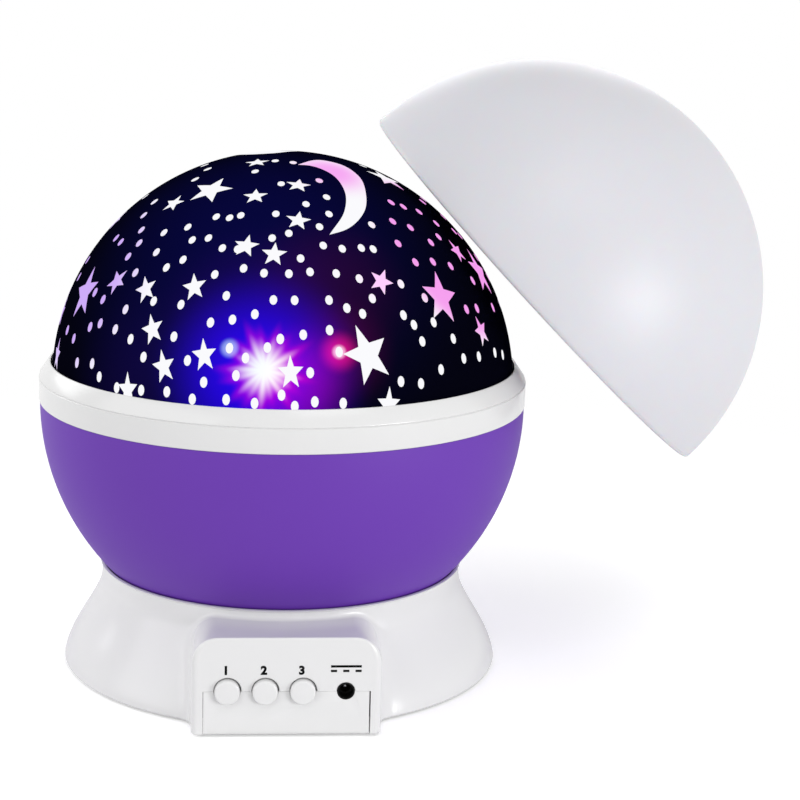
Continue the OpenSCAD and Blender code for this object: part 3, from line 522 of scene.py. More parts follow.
def housing_columns(phi, base, globe):
    """The closed outline of the housing's wall, deck and post, in every column's plane."""
    saucer = BOWL_R + globe.bowl_gap
    under = saucer + base.wall

    def skin(a, r, z):
        """Distance to the outer skin."""
        body = housing_distance(a, r, z, base, base.edge, base.top_edge)
        return round_max(body, FLOOR_GAP - z, FOOT_ROUND)

    def inner(a, r, z):
        """Distance to the wall's inner face."""
        return housing_distance(a, r, z, base, base.wall + INNER_ROUND) + base.wall

    def at_foot(a, r, z):
        """Whether a path has come round the lower edge to the inside of the wall."""
        inside_skin = housing_distance(a, r, z, base, base.edge) < -1.4 * MM
        return (z < FLOOR_GAP + 0.05 * MM) & inside_skin

    def at_saucer(a, r, z):
        """Whether a path has come up to the saucer's underside."""
        return np.hypot(r, z - BOWL_Z) < under

    def settle(distance, r, z):
        """Moves radii onto a distance's zero line, at their heights."""
        for _ in range(30):
            r = r - distance(phi, r, z)
        return r

    def fixed(points):
        """The same points in every column."""
        return np.tile(np.array(points)[None], (len(phi), 1, 1))

    def on_sphere(radius, z):
        """The point of a bowl-centred circle at a height."""
        return [math.sqrt(radius ** 2 - (BOWL_Z - z) ** 2), z]

    top_z = np.full(len(phi), RIM_Z - 0.75 * MM)
    r = settle(skin, np.full(len(phi), base.neck_r), top_z)
    outer = even_rows(trace(skin, phi, r, top_z, (0, -1), at_foot), 110)
    floor_z = np.full(len(phi), FLOOR_GAP)
    r_in = settle(inner, outer[:, -1, 0] - 0.4 * MM, floor_z)
    inside = even_rows(trace(inner, phi, r_in, floor_z, (0, 1), at_saucer), 48)
    below = sphere_rows(inside[:, -1], fixed([on_sphere(under, DECK_LOW)])[:, 0], under, 8)[:, 1:]
    middle = fixed([
        [20 * MM, DECK_LOW], [POST_BORE_R, DECK_LOW], [POST_BORE_R, POST_TOP], [POST_R, POST_TOP],
        [POST_R, DECK_TOP], [22 * MM, DECK_TOP]])
    lip_r = base.neck_r - 0.7 * MM
    lip = [lip_r, BOWL_Z - math.sqrt(saucer ** 2 - lip_r ** 2)]
    dish = sphere_rows(fixed([on_sphere(saucer, DECK_TOP)])[:, 0], fixed([lip])[:, 0], saucer, 10)
    top = RIM_Z - 0.01 * MM
    crown = fixed([[lip_r + 0.15 * MM, top - 0.26 * MM], [lip_r + 0.4 * MM, top - 0.04 * MM],
                   [lip_r + 0.75 * MM, top], [base.neck_r + 0.5 * MM, top - 0.15 * MM]])
    closing = (crown[:, -1:] + outer[:, :1]) / 2
    return np.concatenate([outer, inside, below, middle, dish, crown, closing], 1)


# The housing's columns, finer beside the panel: from and to in degrees from the front, and how many.
SECTORS = [(-31, -17, 56), (-17, 17, 40), (17, 31, 56), (31, 329, 130)]
COLUMN_SLACK = 1e-4                                    # turn by which a point may miss its column, in radians


def housing_mesh(base, globe):
    """Spins the outline in sectors and moves every point to its column's place."""
    phi = np.radians(np.concatenate([np.linspace(a, b, n, endpoint=False) for a, b, n in SECTORS]))
    columns = housing_columns(phi, base, globe)
    bm = bmesh.new()
    row = bm.verts.layers.int.new("row")
    verts = []
    for i, (r, z) in enumerate(columns[0]):
        v = bm.verts.new((r * math.sin(phi[0]), -r * math.cos(phi[0]), z))
        v[row] = i
        verts.append(v)
    edges = [bm.edges.new(pair) for pair in zip(verts, verts[1:] + verts[:1])]
    geom = verts + edges
    for start, end, steps in SECTORS:
        turned = bmesh.ops.spin(bm, geom=geom, cent=(0, 0, 0), axis=(0, 0, 1), dvec=(0, 0, 0),
                                angle=math.radians(end - start), steps=steps, use_duplicate=False)
        geom = turned["geom_last"]
    bmesh.ops.remove_doubles(bm, verts=bm.verts, dist=MERGE)
    turns = np.concatenate([phi, [phi[0] + math.tau]])
    for v in bm.verts:
        a = math.atan2(v.co.x, -v.co.y)
        a = a if a >= phi[0] - COLUMN_SLACK else a + math.tau
        k = int(np.argmin(np.abs(turns - a))) % len(phi)
        r, z = columns[k][v[row]]
        v.co = (r * math.sin(phi[k]), -r * math.cos(phi[k]), z)
    bmesh.ops.recalc_face_normals(bm, faces=bm.faces)
    return bm


PAST = 5 * MM                                          # how far a cutter reaches past what it cuts


def hole_cutter(x, z, r):
    """A round cutter through the panel, a little wider at the face to break the hole's edge."""
    wide = r + 0.2 * MM
    bm = spin_profile([(0, 0, -PAST), (wide, 0, -PAST), (wide, 0, -0.02 * MM), (r, 0, 0.18 * MM),
                       (r, 0, PAST), (0, 0, PAST)], 64)
    turn_to_panel(bm, x, PANEL_Y, z)
    return bm


class LAMP_OT_base_housing(bpy.types.Operator):
    """Builds the flared housing with its saucer, post and control panel"""
    bl_idname = "lamp.base_housing"
    bl_label = "Base housing"

    def execute(self, context):
        scene = context.scene
        base, globe = scene.lamp_base, scene.lamp_globe
        housing = finish_piece("base_shell", housing_mesh(base, globe), "base",
                               materials["white"], ["base_housing"])
        half = base.tab_w / 2
        tab_t, room, shift, jack_hole_r = 3.4 * MM, 0.22 * MM, 0.1 * MM, 2.05 * MM
        tab = block((-half - base.seam, PANEL_Y - PAST, -PAST),
                    (half + base.right_seam, PANEL_Y + tab_t, BUTTON_Z))
        holes = [hole_cutter(x + shift, BUTTON_Z + shift, BUTTON_R + room) for x in BUTTON_XS]
        holes.append(hole_cutter(JACK_X, BUTTON_Z, jack_hole_r))
        lo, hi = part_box("battery_door")
        gap, door_reach = 0.3 * MM, 80 * MM
        door = block((lo.x - gap, 0, -PAST), (hi.x + gap, door_reach, hi.z + 0.2 * MM))
        subtract(housing, [loose_object("cut", bm) for bm in (tab, *holes, door)])
        housing.data.set_sharp_from_angle(angle=SHARP)
        return {"FINISHED"}


class LAMP_OT_bottom_cover(bpy.types.Operator):
    """Softens the edges of the bottom cover and its front tab"""
    bl_idname = "lamp.bottom_cover"
    bl_label = "Bottom cover"

    def execute(self, context):
        base = context.scene.lamp_base
        bm = bmesh.new()
        bm.from_mesh(frame["nodes"]["bottom_cover"].data)
        solid_merge, flat, turned = 2e-6, math.radians(0.5), 0.5
        bmesh.ops.remove_doubles(bm, verts=bm.verts, dist=solid_merge)
        bmesh.ops.dissolve_limit(bm, angle_limit=flat, verts=bm.verts, edges=bm.edges)
        tab_depth, tab_top, touch = 2.2 * MM, 0.3 * MM, 0.01 * MM
        for v in [v for v in bm.verts if v.co.y < PANEL_Y + tab_depth]:
            if abs(abs(v.co.x) - SOLID_TAB_HALF) < 5 * touch:
                v.co.x = math.copysign(base.tab_w / 2, v.co.x)
            if v.co.z > BUTTON_Z - tab_top:
                v.co.z = BUTTON_Z - base.seam / 2
        front = [e for e in bm.edges if all(v.co.y < PANEL_Y + touch for v in e.verts)]
        foot = [e for e in front if all(v.co.z < FLOOR_GAP + touch for v in e.verts)]
        rest = [e for e in front if e not in foot and e.calc_face_angle(0) > turned]
        bevel(bm, foot, 0.9 * MM, 5)
        bevel(bm, [e for e in rest if e.is_valid], 0.12 * MM, 2)
        finish_piece("bottom_cover_shell", bm, "base", materials["white"], ["bottom_cover"])
        return {"FINISHED"}


class LAMP_OT_buttons(bpy.types.Operator):
    """Builds the three push buttons with their round-edged caps"""
    bl_idname = "lamp.buttons"
    bl_label = "Buttons"

    def execute(self, context):
        e, crown, flange_t = 0.5 * MM, 0.12 * MM, 0.8 * MM
        for k, x in enumerate(BUTTON_XS, 1):
            node = f"button_{k}"
            lo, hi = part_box(node)
            flange_r, back = BUTTON_R + FLANGE, hi.y - flange_t
            outline = [(0, 0, lo.y)]                   # the crown's top, then shares of the cap's radius
            outline += [(s * (BUTTON_R - e), 0, lo.y + crown * s * s) for s in (0.3, 0.6, 0.85)]
            outline += arc((BUTTON_R - e, lo.y + crown + e), e, -90, 0, 6)
            outline += [(BUTTON_R, 0, back), (flange_r, 0, back), (flange_r, 0, hi.y), (0, 0, hi.y)]
            bm = spin_profile(outline, 72)
            turn_to_panel(bm, x, 0, BUTTON_Z)
            finish_piece(f"{node}_cap", bm, f"{node}_body", materials["white"], [node])
        return {"FINISHED"}


# ---------------------------------------------------------------- marks on the panel

INK_T = 0.04 * MM
MARK_Z = BUTTON_Z + 4.15 * MM                          # foot of the marks


def mark_piece(name, bm):
    """A printed mark on the panel's face."""
    return finish_piece(name, bm, "base", materials["ink"])


def number_mesh(k):
    """A flat number from Blender's own font, with its thickness along Z."""
    curve = bpy.data.curves.new(f"number_{k}", "FONT")
    curve.body = str(k)
    curve.size = 2.75 * MM
    curve.align_x = "CENTER"
    curve.extrude = INK_T / 2
    curve.offset = 0.15 * MM
    curve.resolution_u = 6
    text = bpy.data.objects.new("number", curve)
    bpy.context.scene.collection.objects.link(text)
    depsgraph = bpy.context.evaluated_depsgraph_get()
    mesh = bpy.data.meshes.new_from_object(text.evaluated_get(depsgraph))
    bpy.data.objects.remove(text)
    bm = bmesh.new()
    bm.from_mesh(mesh)
    bmesh.ops.remove_doubles(bm, verts=bm.verts, dist=1e-6)
    return bm


class LAMP_OT_marks(bpy.types.Operator):
    """Prints plain numbers over the buttons and a direct current sign over the socket"""
    bl_idname = "lamp.marks"
    bl_label = "Marks"

    def execute(self, context):
        upright = Matrix.Rotation(math.radians(90), 3, "X")
        for k, x in enumerate(BUTTON_XS, 1):
            bm = number_mesh(k)
            bmesh.ops.rotate(bm, cent=(0, 0, 0), matrix=upright, verts=bm.verts)
            bmesh.ops.translate(bm, vec=(x - 0.3 * MM, PANEL_Y, MARK_Z), verts=bm.verts)
            bmesh.ops.recalc_face_normals(bm, faces=bm.faces)
            mark_piece(f"number_{k}", bm)
        sign_w, bar_h = 7 * MM, 0.56 * MM
        left, dash = JACK_X - sign_w / 2, sign_w / 5
        bars = [(left, sign_w, MARK_Z + 1.55 * MM)]
        bars += [(left + 2 * i * dash, dash, MARK_Z + 0.45 * MM) for i in range(3)]
        sign = bmesh.new()
        for x, w, z in bars:
            join(sign, block((x, PANEL_Y - INK_T / 2, z), (x + w, PANEL_Y + INK_T / 2, z + bar_h)))
        mark_piece("direct_current_sign", sign)
        return {"FINISHED"}


# ---------------------------------------------------------------- globe

class LAMP_OT_bowl(bpy.types.Operator):
    """Builds the purple bowl with its floor, hub and upstand"""
    bl_idname = "lamp.bowl"
    bl_label = "Bowl"

    def execute(self, context):
        inner = BOWL_R - context.scene.lamp_globe.bowl_wall
        top, stand = RING_LOW - SEAT, high("bowl").z
        floor_top, hub_top = low("bowl_gear").z - SEAT, high("bowl_gear").z
        hub_r, bore_r = 11 * MM, 8.05 * MM
        up_r, up_t, chamfer, up_root = inner - 0.07 * MM, 1.7 * MM, 0.3 * MM, 5 * MM

        def turn(height, radius):
            """Where a circle reaches a height, in degrees."""
            return math.degrees(math.asin(height / radius))

        outline = arc((0, BOWL_Z), BOWL_R, turn(BOWL_FLOOR - BOWL_Z, BOWL_R), turn(top - BOWL_Z, BOWL_R), 72)
        outline += [(up_r, 0, top), (up_r, 0, stand - chamfer), (up_r - chamfer, 0, stand),
                    (up_r - up_t, 0, stand), (up_r - up_t, 0, RING_LOW - up_root)]
        outline += arc((0, BOWL_Z), inner, turn(-up_root, inner), turn(floor_top - BOWL_Z, inner), 48)
        outline += [(hub_r, 0, floor_top), (hub_r, 0, hub_top), (bore_r, 0, hub_top), (bore_r, 0, BOWL_FLOOR)]
        finish_piece("bowl_shell", spin_profile(outline), "globe", materials["purple"],
                     ["bowl"])
        return {"FINISHED"}


class LAMP_OT_ring(bpy.types.Operator):
    """Builds the white ring with its sloped lip and fine groove"""
    bl_idname = "lamp.ring"
    bl_label = "Ring"

    def execute(self, context):
        globe = context.scene.lamp_globe
        e, lip_e, g = 0.35 * MM, 0.28 * MM, globe.groove
        inner = BOWL_R - globe.bowl_wall
        upstand = RING_LOW + 3.1 * MM
        seat, seat_r = upstand + 2 * MM, FILM_R - 2.63 * MM
        shoulder = RING_LOW + 6.1 * MM
        lip_in = FILM_R + 0.12 * MM
        lip_out = lip_in + 0.6 * MM
        outline = [(inner, 0, RING_LOW)]
        outline += arc((RING_R - e, RING_LOW + e), e, -90, 0, 4)
        # The groove, in depths of itself: in from the rim, up from the shoulder.
        outline += [(RING_R - a * g, 0, shoulder + b * g)
                    for a, b in ((0, -1.4), (0.3, -1.1), (1, -0.7), (1, -0.5), (0.5, 0))]
        outline += [(RING_R - 0.62 * g, 0, shoulder + 0.25 * MM)]
        outline += arc((lip_out - lip_e, RING_TOP - lip_e), lip_e, 25, 170, 6)
        outline += [(lip_in, 0, seat), (seat_r, 0, seat), (seat_r, 0, upstand), (inner, 0, upstand)]
        finish_piece("ring_body", spin_profile(outline), "dome_unit", materials["white"],
                     ["globe_ring"])
        return {"FINISHED"}


# ---------------------------------------------------------------- star film

# Lamps that show through the film: turn from the front and height, in degrees.
BURST = (-6, 14.5)
RED_SPOT = (11.5, 18.5)
CYAN_SPOT = (-14.5, 19)

# Stars: turn from the front, height (both in degrees), large or small, lean to the left in degrees.
FRONT_STARS = [
    (-14, 44, 0, -4), (-5, 42, 0, -3), (3, 52, 0, -11), (5, 65, 0, -13), (-16, 60, 0, 9),
    (-54, 54.5, 0, 10), (-33.5, 76.5, 0, 28), (-26.5, 32.5, 0, 18), (-30.5, 13.5, 0, 19),
    (-35.5, 21.5, 0, 25), (-41.5, 30.5, 0, 31), (-54, 31, 0, -29), (-20.5, 17, 0, 11), (0, 14, 0, 2),
    (26, 34.5, 0, -33), (57.5, 19, 0, 11), (65.5, 39, 0, 2), (-40, 7, 0, 8), (23, 6, 0, -6), (-76, 9, 0, 0),
    (-41, 61, 1, 3), (18.5, 17.5, 1, 17), (-68, 26, 1, 18), (44.5, 29, 1, -15), (74, 32, 1, -20),
    (77, 64.5, 1, 24),
]
BACK_STARS = [
    (100, 20, 0, 5), (112, 42, 0, -10), (122, 12, 0, 12), (128, 60, 0, 0), (136, 30, 1, 10),
    (150, 46, 0, -6), (156, 15, 0, 8), (166, 68, 0, 0), (172, 28, 0, -12), (188, 52, 0, 6),
    (190, 14, 0, -8), (204, 34, 1, 14), (216, 62, 0, 4), (222, 18, 0, 10), (232, 44, 0, -8),
    (244, 10, 0, 6), (250, 30, 0, -14), (256, 58, 0, 8), (270, 44, 0, 0), (275, 18, 0, 12),
]
# Dots on the front half: turn and height.
FRONT_DOTS = [
    RED_SPOT, CYAN_SPOT,
    (-71, 16), (-70, 41), (-69, 69), (-68.5, 53.5), (-65, 49), (-65, 15), (-64.5, 40.5), (-62, 27),
    (-61.5, 64), (-60.5, 10), (-58, 45), (-58, 19), (-56.5, 26), (-55, 37.5), (-54, 20.5), (-54, 41.5),
    (-53.5, 11), (-50, 8.5), (-48, 34), (-47.5, 20), (-46, 45.5), (-46, 25), (-44, 40), (-43.5, 7),
    (-41.5, 18.5), (-37.5, 48), (-37.5, 28), (-37.5, 36.5), (-36.5, 15), (-36, 7.5), (-33, 39), (-33, 44.5),
    (-29, 8), (-29, 20.5), (-29, 28), (-28.5, 52), (-27.5, 45.5), (-25, 71), (-24.5, 15.5), (-23, 52),
    (-22.5, 7), (-21.5, 43), (-21.5, 36), (-20, 24.5), (-20, 11), (-19, 53), (-17, 31), (-16.5, 43),
    (-15.5, 78.5), (-14.5, 7.5), (-14.5, 25.5), (-13.5, 38), (-12.5, 13), (-10.5, 17), (-9, 27), (-8, 7),
    (-7.5, 37), (-6, 46.5), (-5.5, 54), (-5.5, 19.5), (-4.5, 30.5), (-4.5, 65.5), (-2.5, 21.5), (-2, 9),
    (-0.5, 48), (-0.5, 37), (1, 30.5), (1, 6.5), (3, 41), (3, 22.5), (4.5, 14), (5.5, 7.5), (5.5, 77.5),
    (5.5, 37.5), (7, 57.5), (9.5, 23.5), (10, 30.5), (10.5, 44.5), (10.5, 50), (12, 7), (13, 37),
    (14.5, 28.5), (15.5, 54), (16.5, 43.5), (17.5, 60), (18.5, 27), (18.5, 67), (19.5, 35.5), (22, 30.5),
    (23, 43.5), (26.5, 11), (27, 43), (30, 26), (31, 50), (32, 10), (32, 33.5), (32.5, 23.5), (34, 19.5),
    (37.5, 44), (38.5, 12.5), (38.5, 29.5), (39, 23.5), (40.5, 38.5), (41.5, 50.5), (44.5, 19), (47, 14),
    (48, 48), (48, 38), (50, 56.5), (53, 43), (53.5, 13.5), (53.5, 25), (55, 54.5), (55.5, 36), (59, 24.5),
    (60, 44), (62.5, 13), (62.5, 52), (64, 31), (67, 47.5), (68, 11.5), (70.5, 23), (78.5, 54), (79, 43.5),
]
MOONS = [(24, 66), (200, 78)]
# The moon's outer and inner edge from tip to tip, in mm on the film (right, up).
MOON_OUTER = [(-7.5, -18.5), (-3, -17.5), (4, -12), (8, -4), (10, 5), (8.5, 11), (4.5, 13.5), (-3.5, 10.5)]
MOON_INNER = [(-7.5, -18.5), (-1, -11.5), (2.5, -3), (2, 5.5), (-1, 9.5), (-3.5, 10.5)]
MOON_REACH = 16 * MM                                   # room that the moon takes on the back half
# Rows of dots on the back half: how many, the lowest, the step up in degrees, and a low row's dots.
BACK_ROWS, BACK_ROW_LOW, BACK_ROW_STEP, BACK_ROW_DOTS = 12, 8, 6.3, 38
BACK_FROM, BACK_TO = 82, 280                           # the back half's reach, in degrees
STRAY_TURN, STRAY_HEIGHT = 2.6, 2.1                    # how far a dot strays from its row, in degrees
DOT_ROOM = 0.7 * MM                                    # least gap between a dot and a star
DOT_LOSS = 0.18                                        # share of its height that a dot has lost at 45 degrees
STAR_TALL, STAR_SQUAT = 1.45, 0.95                     # height of a star over its width, low and high up


def tallness(el):
    """Height of a star over its width: stars low on the dome are drawn taller."""
    return STAR_TALL + (STAR_SQUAT - STAR_TALL) * min(el, 60) / 60


def back_dots(film):
    """Dots in loose rows on the back half, clear of the stars and moons."""
    stars = [(dome_point(az, el, FILM_R), film.big_star if big else film.small_star)
             for az, el, big, _ in FRONT_STARS + BACK_STARS]
    moons = [dome_point(az, el, FILM_R) for az, el in MOONS]
    for i in range(BACK_ROWS):
        row_el = BACK_ROW_LOW + BACK_ROW_STEP * i
        count = math.floor(BACK_ROW_DOTS * math.cos(math.radians(row_el)))
        for k in range(count):
            # Waves of turn and height move each dot off its even place.
            az = 360 * (k + 0.5 * (i % 2)) / count + STRAY_TURN * math.sin(math.radians(137 * k + 61 * i))
            el = row_el + STRAY_HEIGHT * math.sin(math.radians(97 * k + 43 * i))
            p = dome_point(az, el, FILM_R)
            off_stars = min((p - s).length - r for s, r in stars) > film.dot_half_h + DOT_ROOM
            off_moons = min((p - m).length for m in moons) > MOON_REACH
            if BACK_FROM < az < BACK_TO and off_stars and off_moons:
                yield az, el


def lay_on_dome(bm, az, el, radius):
    """Takes flat points (x right, y up) onto the dome at a place, at the given radius."""
    a = math.radians(az)
    out = dome_point(az, el, 1.0) - DOME_CENTRE
    right = Vector((math.cos(a), math.sin(a), 0))
    up = out.cross(right)
    for v in bm.verts:
        flat = out * radius + right * v.co.x + up * v.co.y
        v.co = DOME_CENTRE + flat.normalized() * (radius + v.co.z)


SUNK = 0.05 * MM                                       # how far a window sits in the film


def add_window(windows, patch, az, el, depth):
    """Gives a flat patch its thickness, lays it on the film and adds it to the windows."""
    made = bmesh.ops.extrude_face_region(patch, geom=list(patch.faces), use_keep_orig=True)
    raised = {g for g in made["geom"] if isinstance(g, bmesh.types.BMVert)}
    for v in patch.verts:
        v.co.z = depth if v in raised else -SUNK
    lay_on_dome(patch, az, el, FILM_R)
    bmesh.ops.recalc_face_normals(patch, faces=patch.faces)
    join(windows, patch)


def star_patch(r, waist, tall, lean, cuts):
    """A flat five-pointed star with its rays divided, so that it can follow the dome."""
    patch = bmesh.new()
    bmesh.ops.create_circle(patch, cap_ends=True, cap_tris=True, segments=10, radius=1.0)
    turn = Matrix.Rotation(math.radians(lean), 2)
    for v in patch.verts:
        if v.co.length > 0.5:
            corner = round(10 * math.atan2(v.co.x, v.co.y) / math.tau) % 10
            a = math.tau * corner / 10
            reach = r if corner % 2 == 0 else r * waist
            flat = turn @ Vector((reach * math.sin(a), tall * reach * math.cos(a)))
            v.co = (flat.x, flat.y, 0)
    bmesh.ops.subdivide_edges(patch, edges=patch.edges, cuts=cuts, use_grid_fill=True)
    return patch


def smooth_line(points, places):
    """Points on a soft curve through the given ones, at places from 0 to 1 of its length."""
    pts = np.array(points, float)
    run = np.concatenate([[0], np.cumsum(np.linalg.norm(np.diff(pts, axis=0), axis=1))])
    run /= run[-1]
    slope = np.gradient(pts, run, axis=0)
    out = []
    for q in places:
        k = min(int(np.searchsorted(run, q, side="right")) - 1, len(run) - 2)
        w = run[k + 1] - run[k]
        t = (q - run[k]) / w
        a, b = 2 * t ** 3 - 3 * t ** 2 + 1, t ** 3 - 2 * t ** 2 + t
        c = t ** 3 - t ** 2
        out.append(a * pts[k] + b * w * slope[k] + (1 - a) * pts[k + 1] + c * w * slope[k + 1])
    return np.array(out)


def moon_patch():
    """A flat crescent between two edges that meet in its tips."""
    patch = bmesh.new()
    bmesh.ops.create_grid(patch, x_segments=56, y_segments=5, size=1.0)
    places = sorted({round(v.co.x, 4) for v in patch.verts})
    # Places crowd towards the tips and end just short of them, so that the tips have a width.
    along = [0.5 + 0.4985 * math.sin(q * math.pi / 2) for q in places]
    outer, inner = smooth_line(MOON_OUTER, along), smooth_line(MOON_INNER, along)
    for v in patch.verts:
        k = places.index(round(v.co.x, 4))
        t = (v.co.y + 1) / 2
        x, y = (inner[k] * (1 - t) + outer[k] * t) * MM
        v.co = (x, y, 0)
    return patch


def dot_patch(half_w, half_h):
    """A flat upright ellipse."""
    patch = bmesh.new()
    bmesh.ops.create_circle(patch, cap_ends=True, cap_tris=True, segments=14, radius=1.0)
    bmesh.ops.scale(patch, vec=(half_w, half_h, 1), verts=patch.verts)
    return patch


class LAMP_OT_star_film(bpy.types.Operator):
    """Builds the dark film and its clear star, moon and dot windows"""
    bl_idname = "lamp.star_film"
    bl_label = "Star film"

    def execute(self, context):
        globe, film = context.scene.lamp_globe, context.scene.lamp_film
        start = math.degrees(math.asin((low("star_film").z - DOME_Z) / FILM_R))
        outline = arc((0, DOME_Z), FILM_R, start, 90, 96)
        outline += arc((0, DOME_Z), FILM_R - globe.film_t, 90, start, 48)
        finish_piece("night_film", spin_profile(outline), "dome_unit", materials["night"],
                     ["star_film"])
        windows = bmesh.new()
        proud = globe.window_proud
        for az, el, big, lean in FRONT_STARS + BACK_STARS:
            r = film.big_star if big else film.small_star
            star = star_patch(r, film.waist, tallness(el), lean, 4 if big else 2)
            add_window(windows, star, az, el, proud)
        for az, el in MOONS:
            add_window(windows, moon_patch(), az, el, proud)
        for az, el in FRONT_DOTS + list(back_dots(film)):
            half_h = film.dot_half_h * (1 - DOT_LOSS * min(el, 45) / 45)
            add_window(windows, dot_patch(film.dot_half_w, half_h), az, el, proud)
        finish_piece("film_windows", windows, "dome_unit", materials["window"],
                     sharp=math.radians(60))
        return {"FINISHED"}


# ---------------------------------------------------------------- diffuser cover

class LAMP_OT_cover(bpy.types.Operator):
    """Builds the milky diffuser cover in its lifted pose"""
    bl_idname = "lamp.cover"
    bl_label = "Diffuser cover"

    def execute(self, context):
        globe = context.scene.lamp_globe
        inner = FILM_R + 0.8 * MM
        radius, e = inner + globe.cover_wall, globe.cover_wall / 2
        rim_turn = 1.2                                 # degrees left to the rounded rim
        outline = arc((0, 0), radius, rim_turn, 90, 80) + arc((0, 0), inner, 90, rim_turn, 60)
        outline += arc((radius - e, 0.001 * MM + e), e, 180, 360, 8)[1:-1]
        bm = spin_profile(outline)
        turn = Matrix.Rotation(globe.cover_turn, 4, "Z") @ Matrix.Rotation(globe.cover_tilt, 4, "Y")
        place = Matrix.Translation(cover_centre(radius, turn))
        bmesh.ops.transform(bm, matrix=place @ turn, verts=bm.verts)
        finish_piece("cover_shell", bm, "cover", materials["milky"], ["diffuser_cover"])
        return {"FINISHED"}


def cover_centre(radius, turn):
    """Centre of the cover's sphere: its far corner touches the solid's box on two sides."""
    hi = high("diffuser_cover")
    axis = turn @ Vector((0, 0, 1))
    reach_y = radius * math.sqrt(1 - axis.y ** 2) if axis.y < 0 else radius
    return Vector((hi.x - radius, hi.y - reach_y, hi.z - radius))


# ---------------------------------------------------------------- inner pieces

class LAMP_OT_inner_pieces(bpy.types.Operator):
    """Gives the solid model's own pieces their finishes"""
    bl_idname = "lamp.inner_pieces"
    bl_label = "Inner pieces"

    def execute(self, context):
        finishes = inner_finishes()
        finishes["white_plastic"] = materials["white"]
        finishes["purple_plastic"] = materials["purple"]
        finishes["milky_plastic"] = materials["milky"]
        finishes["night_film"] = materials["night"]
        for part in frame["record"]["subparts"]:
            node = frame["nodes"][part["node"]]
            node.data.materials.clear()
            node.data.materials.append(finishes[part["material_slot"]])
        return {"FINISHED"}


# ---------------------------------------------------------------- stage

# Lamps: name, the setting with its power, place, what it points at, and its width and height, in metres.
LAMPS = [
    ("key_lamp", "key", (0.25, -0.5, 0.95), (0, 0, 0.07), (0.5, 0.4)),
    ("left_lamp", "left", (-0.85, -0.4, 0.45), (0, 0, 0.05), (1.1, 0.8)),
    ("right_lamp", "right", (0.68, -0.62, 0.13), (0.01, 0, 0.06), (0.35, 0.25)),
    ("back_left_lamp", "back", (-0.7, 0.5, 0.4), (0, 0, 0.06), (0.4, 0.4)),
    ("back_lamp", "back", (0.15, 0.9, 0.35), (0, 0, 0.06), (0.5, 0.4)),
]
FLOOR_HALF = 12.0                                      # half the floor's width, in metres
FLOOR_FADE = (120 * MM, 320 * MM)                      # the floor fades into the white round it between these
CAMERA_AT = Vector((-12.76, -487.46, 175.78)) * MM
FOCAL_MM, SENSOR_MM = 89.757, 36


def soft_lamp(name, place, aim, size, watts):
    """A rectangular lamp that points at a place."""
    data = bpy.data.lights.new(name, "AREA")
    data.shape = "RECTANGLE"
    data.size, data.size_y = size
    data.energy = watts
    obj = bpy.data.objects.new(name, data)
    obj.location = place
    obj.rotation_euler = (Vector(aim) - Vector(place)).to_track_quat("-Z", "Y").to_euler()
    bpy.context.scene.collection.objects.link(obj)


class LAMP_OT_stage(bpy.types.Operator):
    """Sets the floor, the light tent, the lamps and the camera"""
    bl_idname = "lamp.stage"
    bl_label = "Stage"

    def execute(self, context):
        scene = context.scene
        settings = scene.lamp_stage
        scene.view_settings.view_transform = "Standard"
        card = bmesh.new()
        bmesh.ops.create_grid(card, x_segments=2, y_segments=2, size=FLOOR_HALF)
        floor = loose_object("floor", card)
        floor.data.materials.append(floor_material(settings.lift))
        scene.world = tent_world(settings.tent)
        for name, setting, place, aim, size in LAMPS:
            soft_lamp(name, place, aim, size, getattr(settings, setting))
        place_camera(scene, settings)
        return {"FINISHED"}


def floor_material(lift):
    """Matt white card, seen as plain white where no shadow falls."""
    material, tree, shader = principled("white_card", Roughness=0.9, Specular_IOR_Level=0.0,
                                        Base_Color=hex_to_linear("#FAFAFA"), Emission_Color=WHITE)
    path = add_node(tree, "ShaderNodeLightPath")
    glow = add_node(tree, "ShaderNodeMath", {0: path.outputs["Is Camera Ray"], 1: lift},
                    operation="MULTIPLY")
    tree.links.new(glow.outputs["Value"], shader.inputs["Emission Strength"])
    place = add_node(tree, "ShaderNodeTexCoord").outputs["Object"]
    away = add_node(tree, "ShaderNodeVectorMath", {0: place}, operation="LENGTH")
    fade = add_node(tree, "ShaderNodeMapRange",
                    {"Value": away.outputs["Value"], "From Min": FLOOR_FADE[0], "From Max": FLOOR_FADE[1],
                     "To Min": 0.0, "To Max": 1.0}, interpolation_type="SMOOTHSTEP")
    clear = add_node(tree, "ShaderNodeBsdfTransparent")
    mix = add_node(tree, "ShaderNodeMixShader",
                   {0: fade.outputs["Result"], 1: shader.outputs["BSDF"], 2: clear.outputs["BSDF"]})
    tree.links.new(mix.outputs["Shader"], tree.nodes["Material Output"].inputs["Surface"])
    return material


def tent_world(strength):
    """A white light tent that the camera, gloss and glass see as white."""
    world = bpy.data.worlds.new("light_tent")
    world.use_nodes = True
    tree = world.node_tree
    tree.nodes.clear()
    path = add_node(tree, "ShaderNodeLightPath")
    soft = add_node(tree, "ShaderNodeBackground", {"Color": WHITE, "Strength": strength})
    white = add_node(tree, "ShaderNodeBackground", {"Color": WHITE, "Strength": 1.0})
    seen = path.outputs["Is Camera Ray"]
    for ray in ("Is Glossy Ray", "Is Transmission Ray"):
        seen = add_node(tree, "ShaderNodeMath", {0: seen, 1: path.outputs[ray]},
                        operation="MAXIMUM").outputs["Value"]
    mix = add_node(tree, "ShaderNodeMixShader",
                   {0: seen, 1: soft.outputs["Background"], 2: white.outputs["Background"]})
    add_node(tree, "ShaderNodeOutputWorld", {"Surface": mix.outputs["Shader"]})
    return world


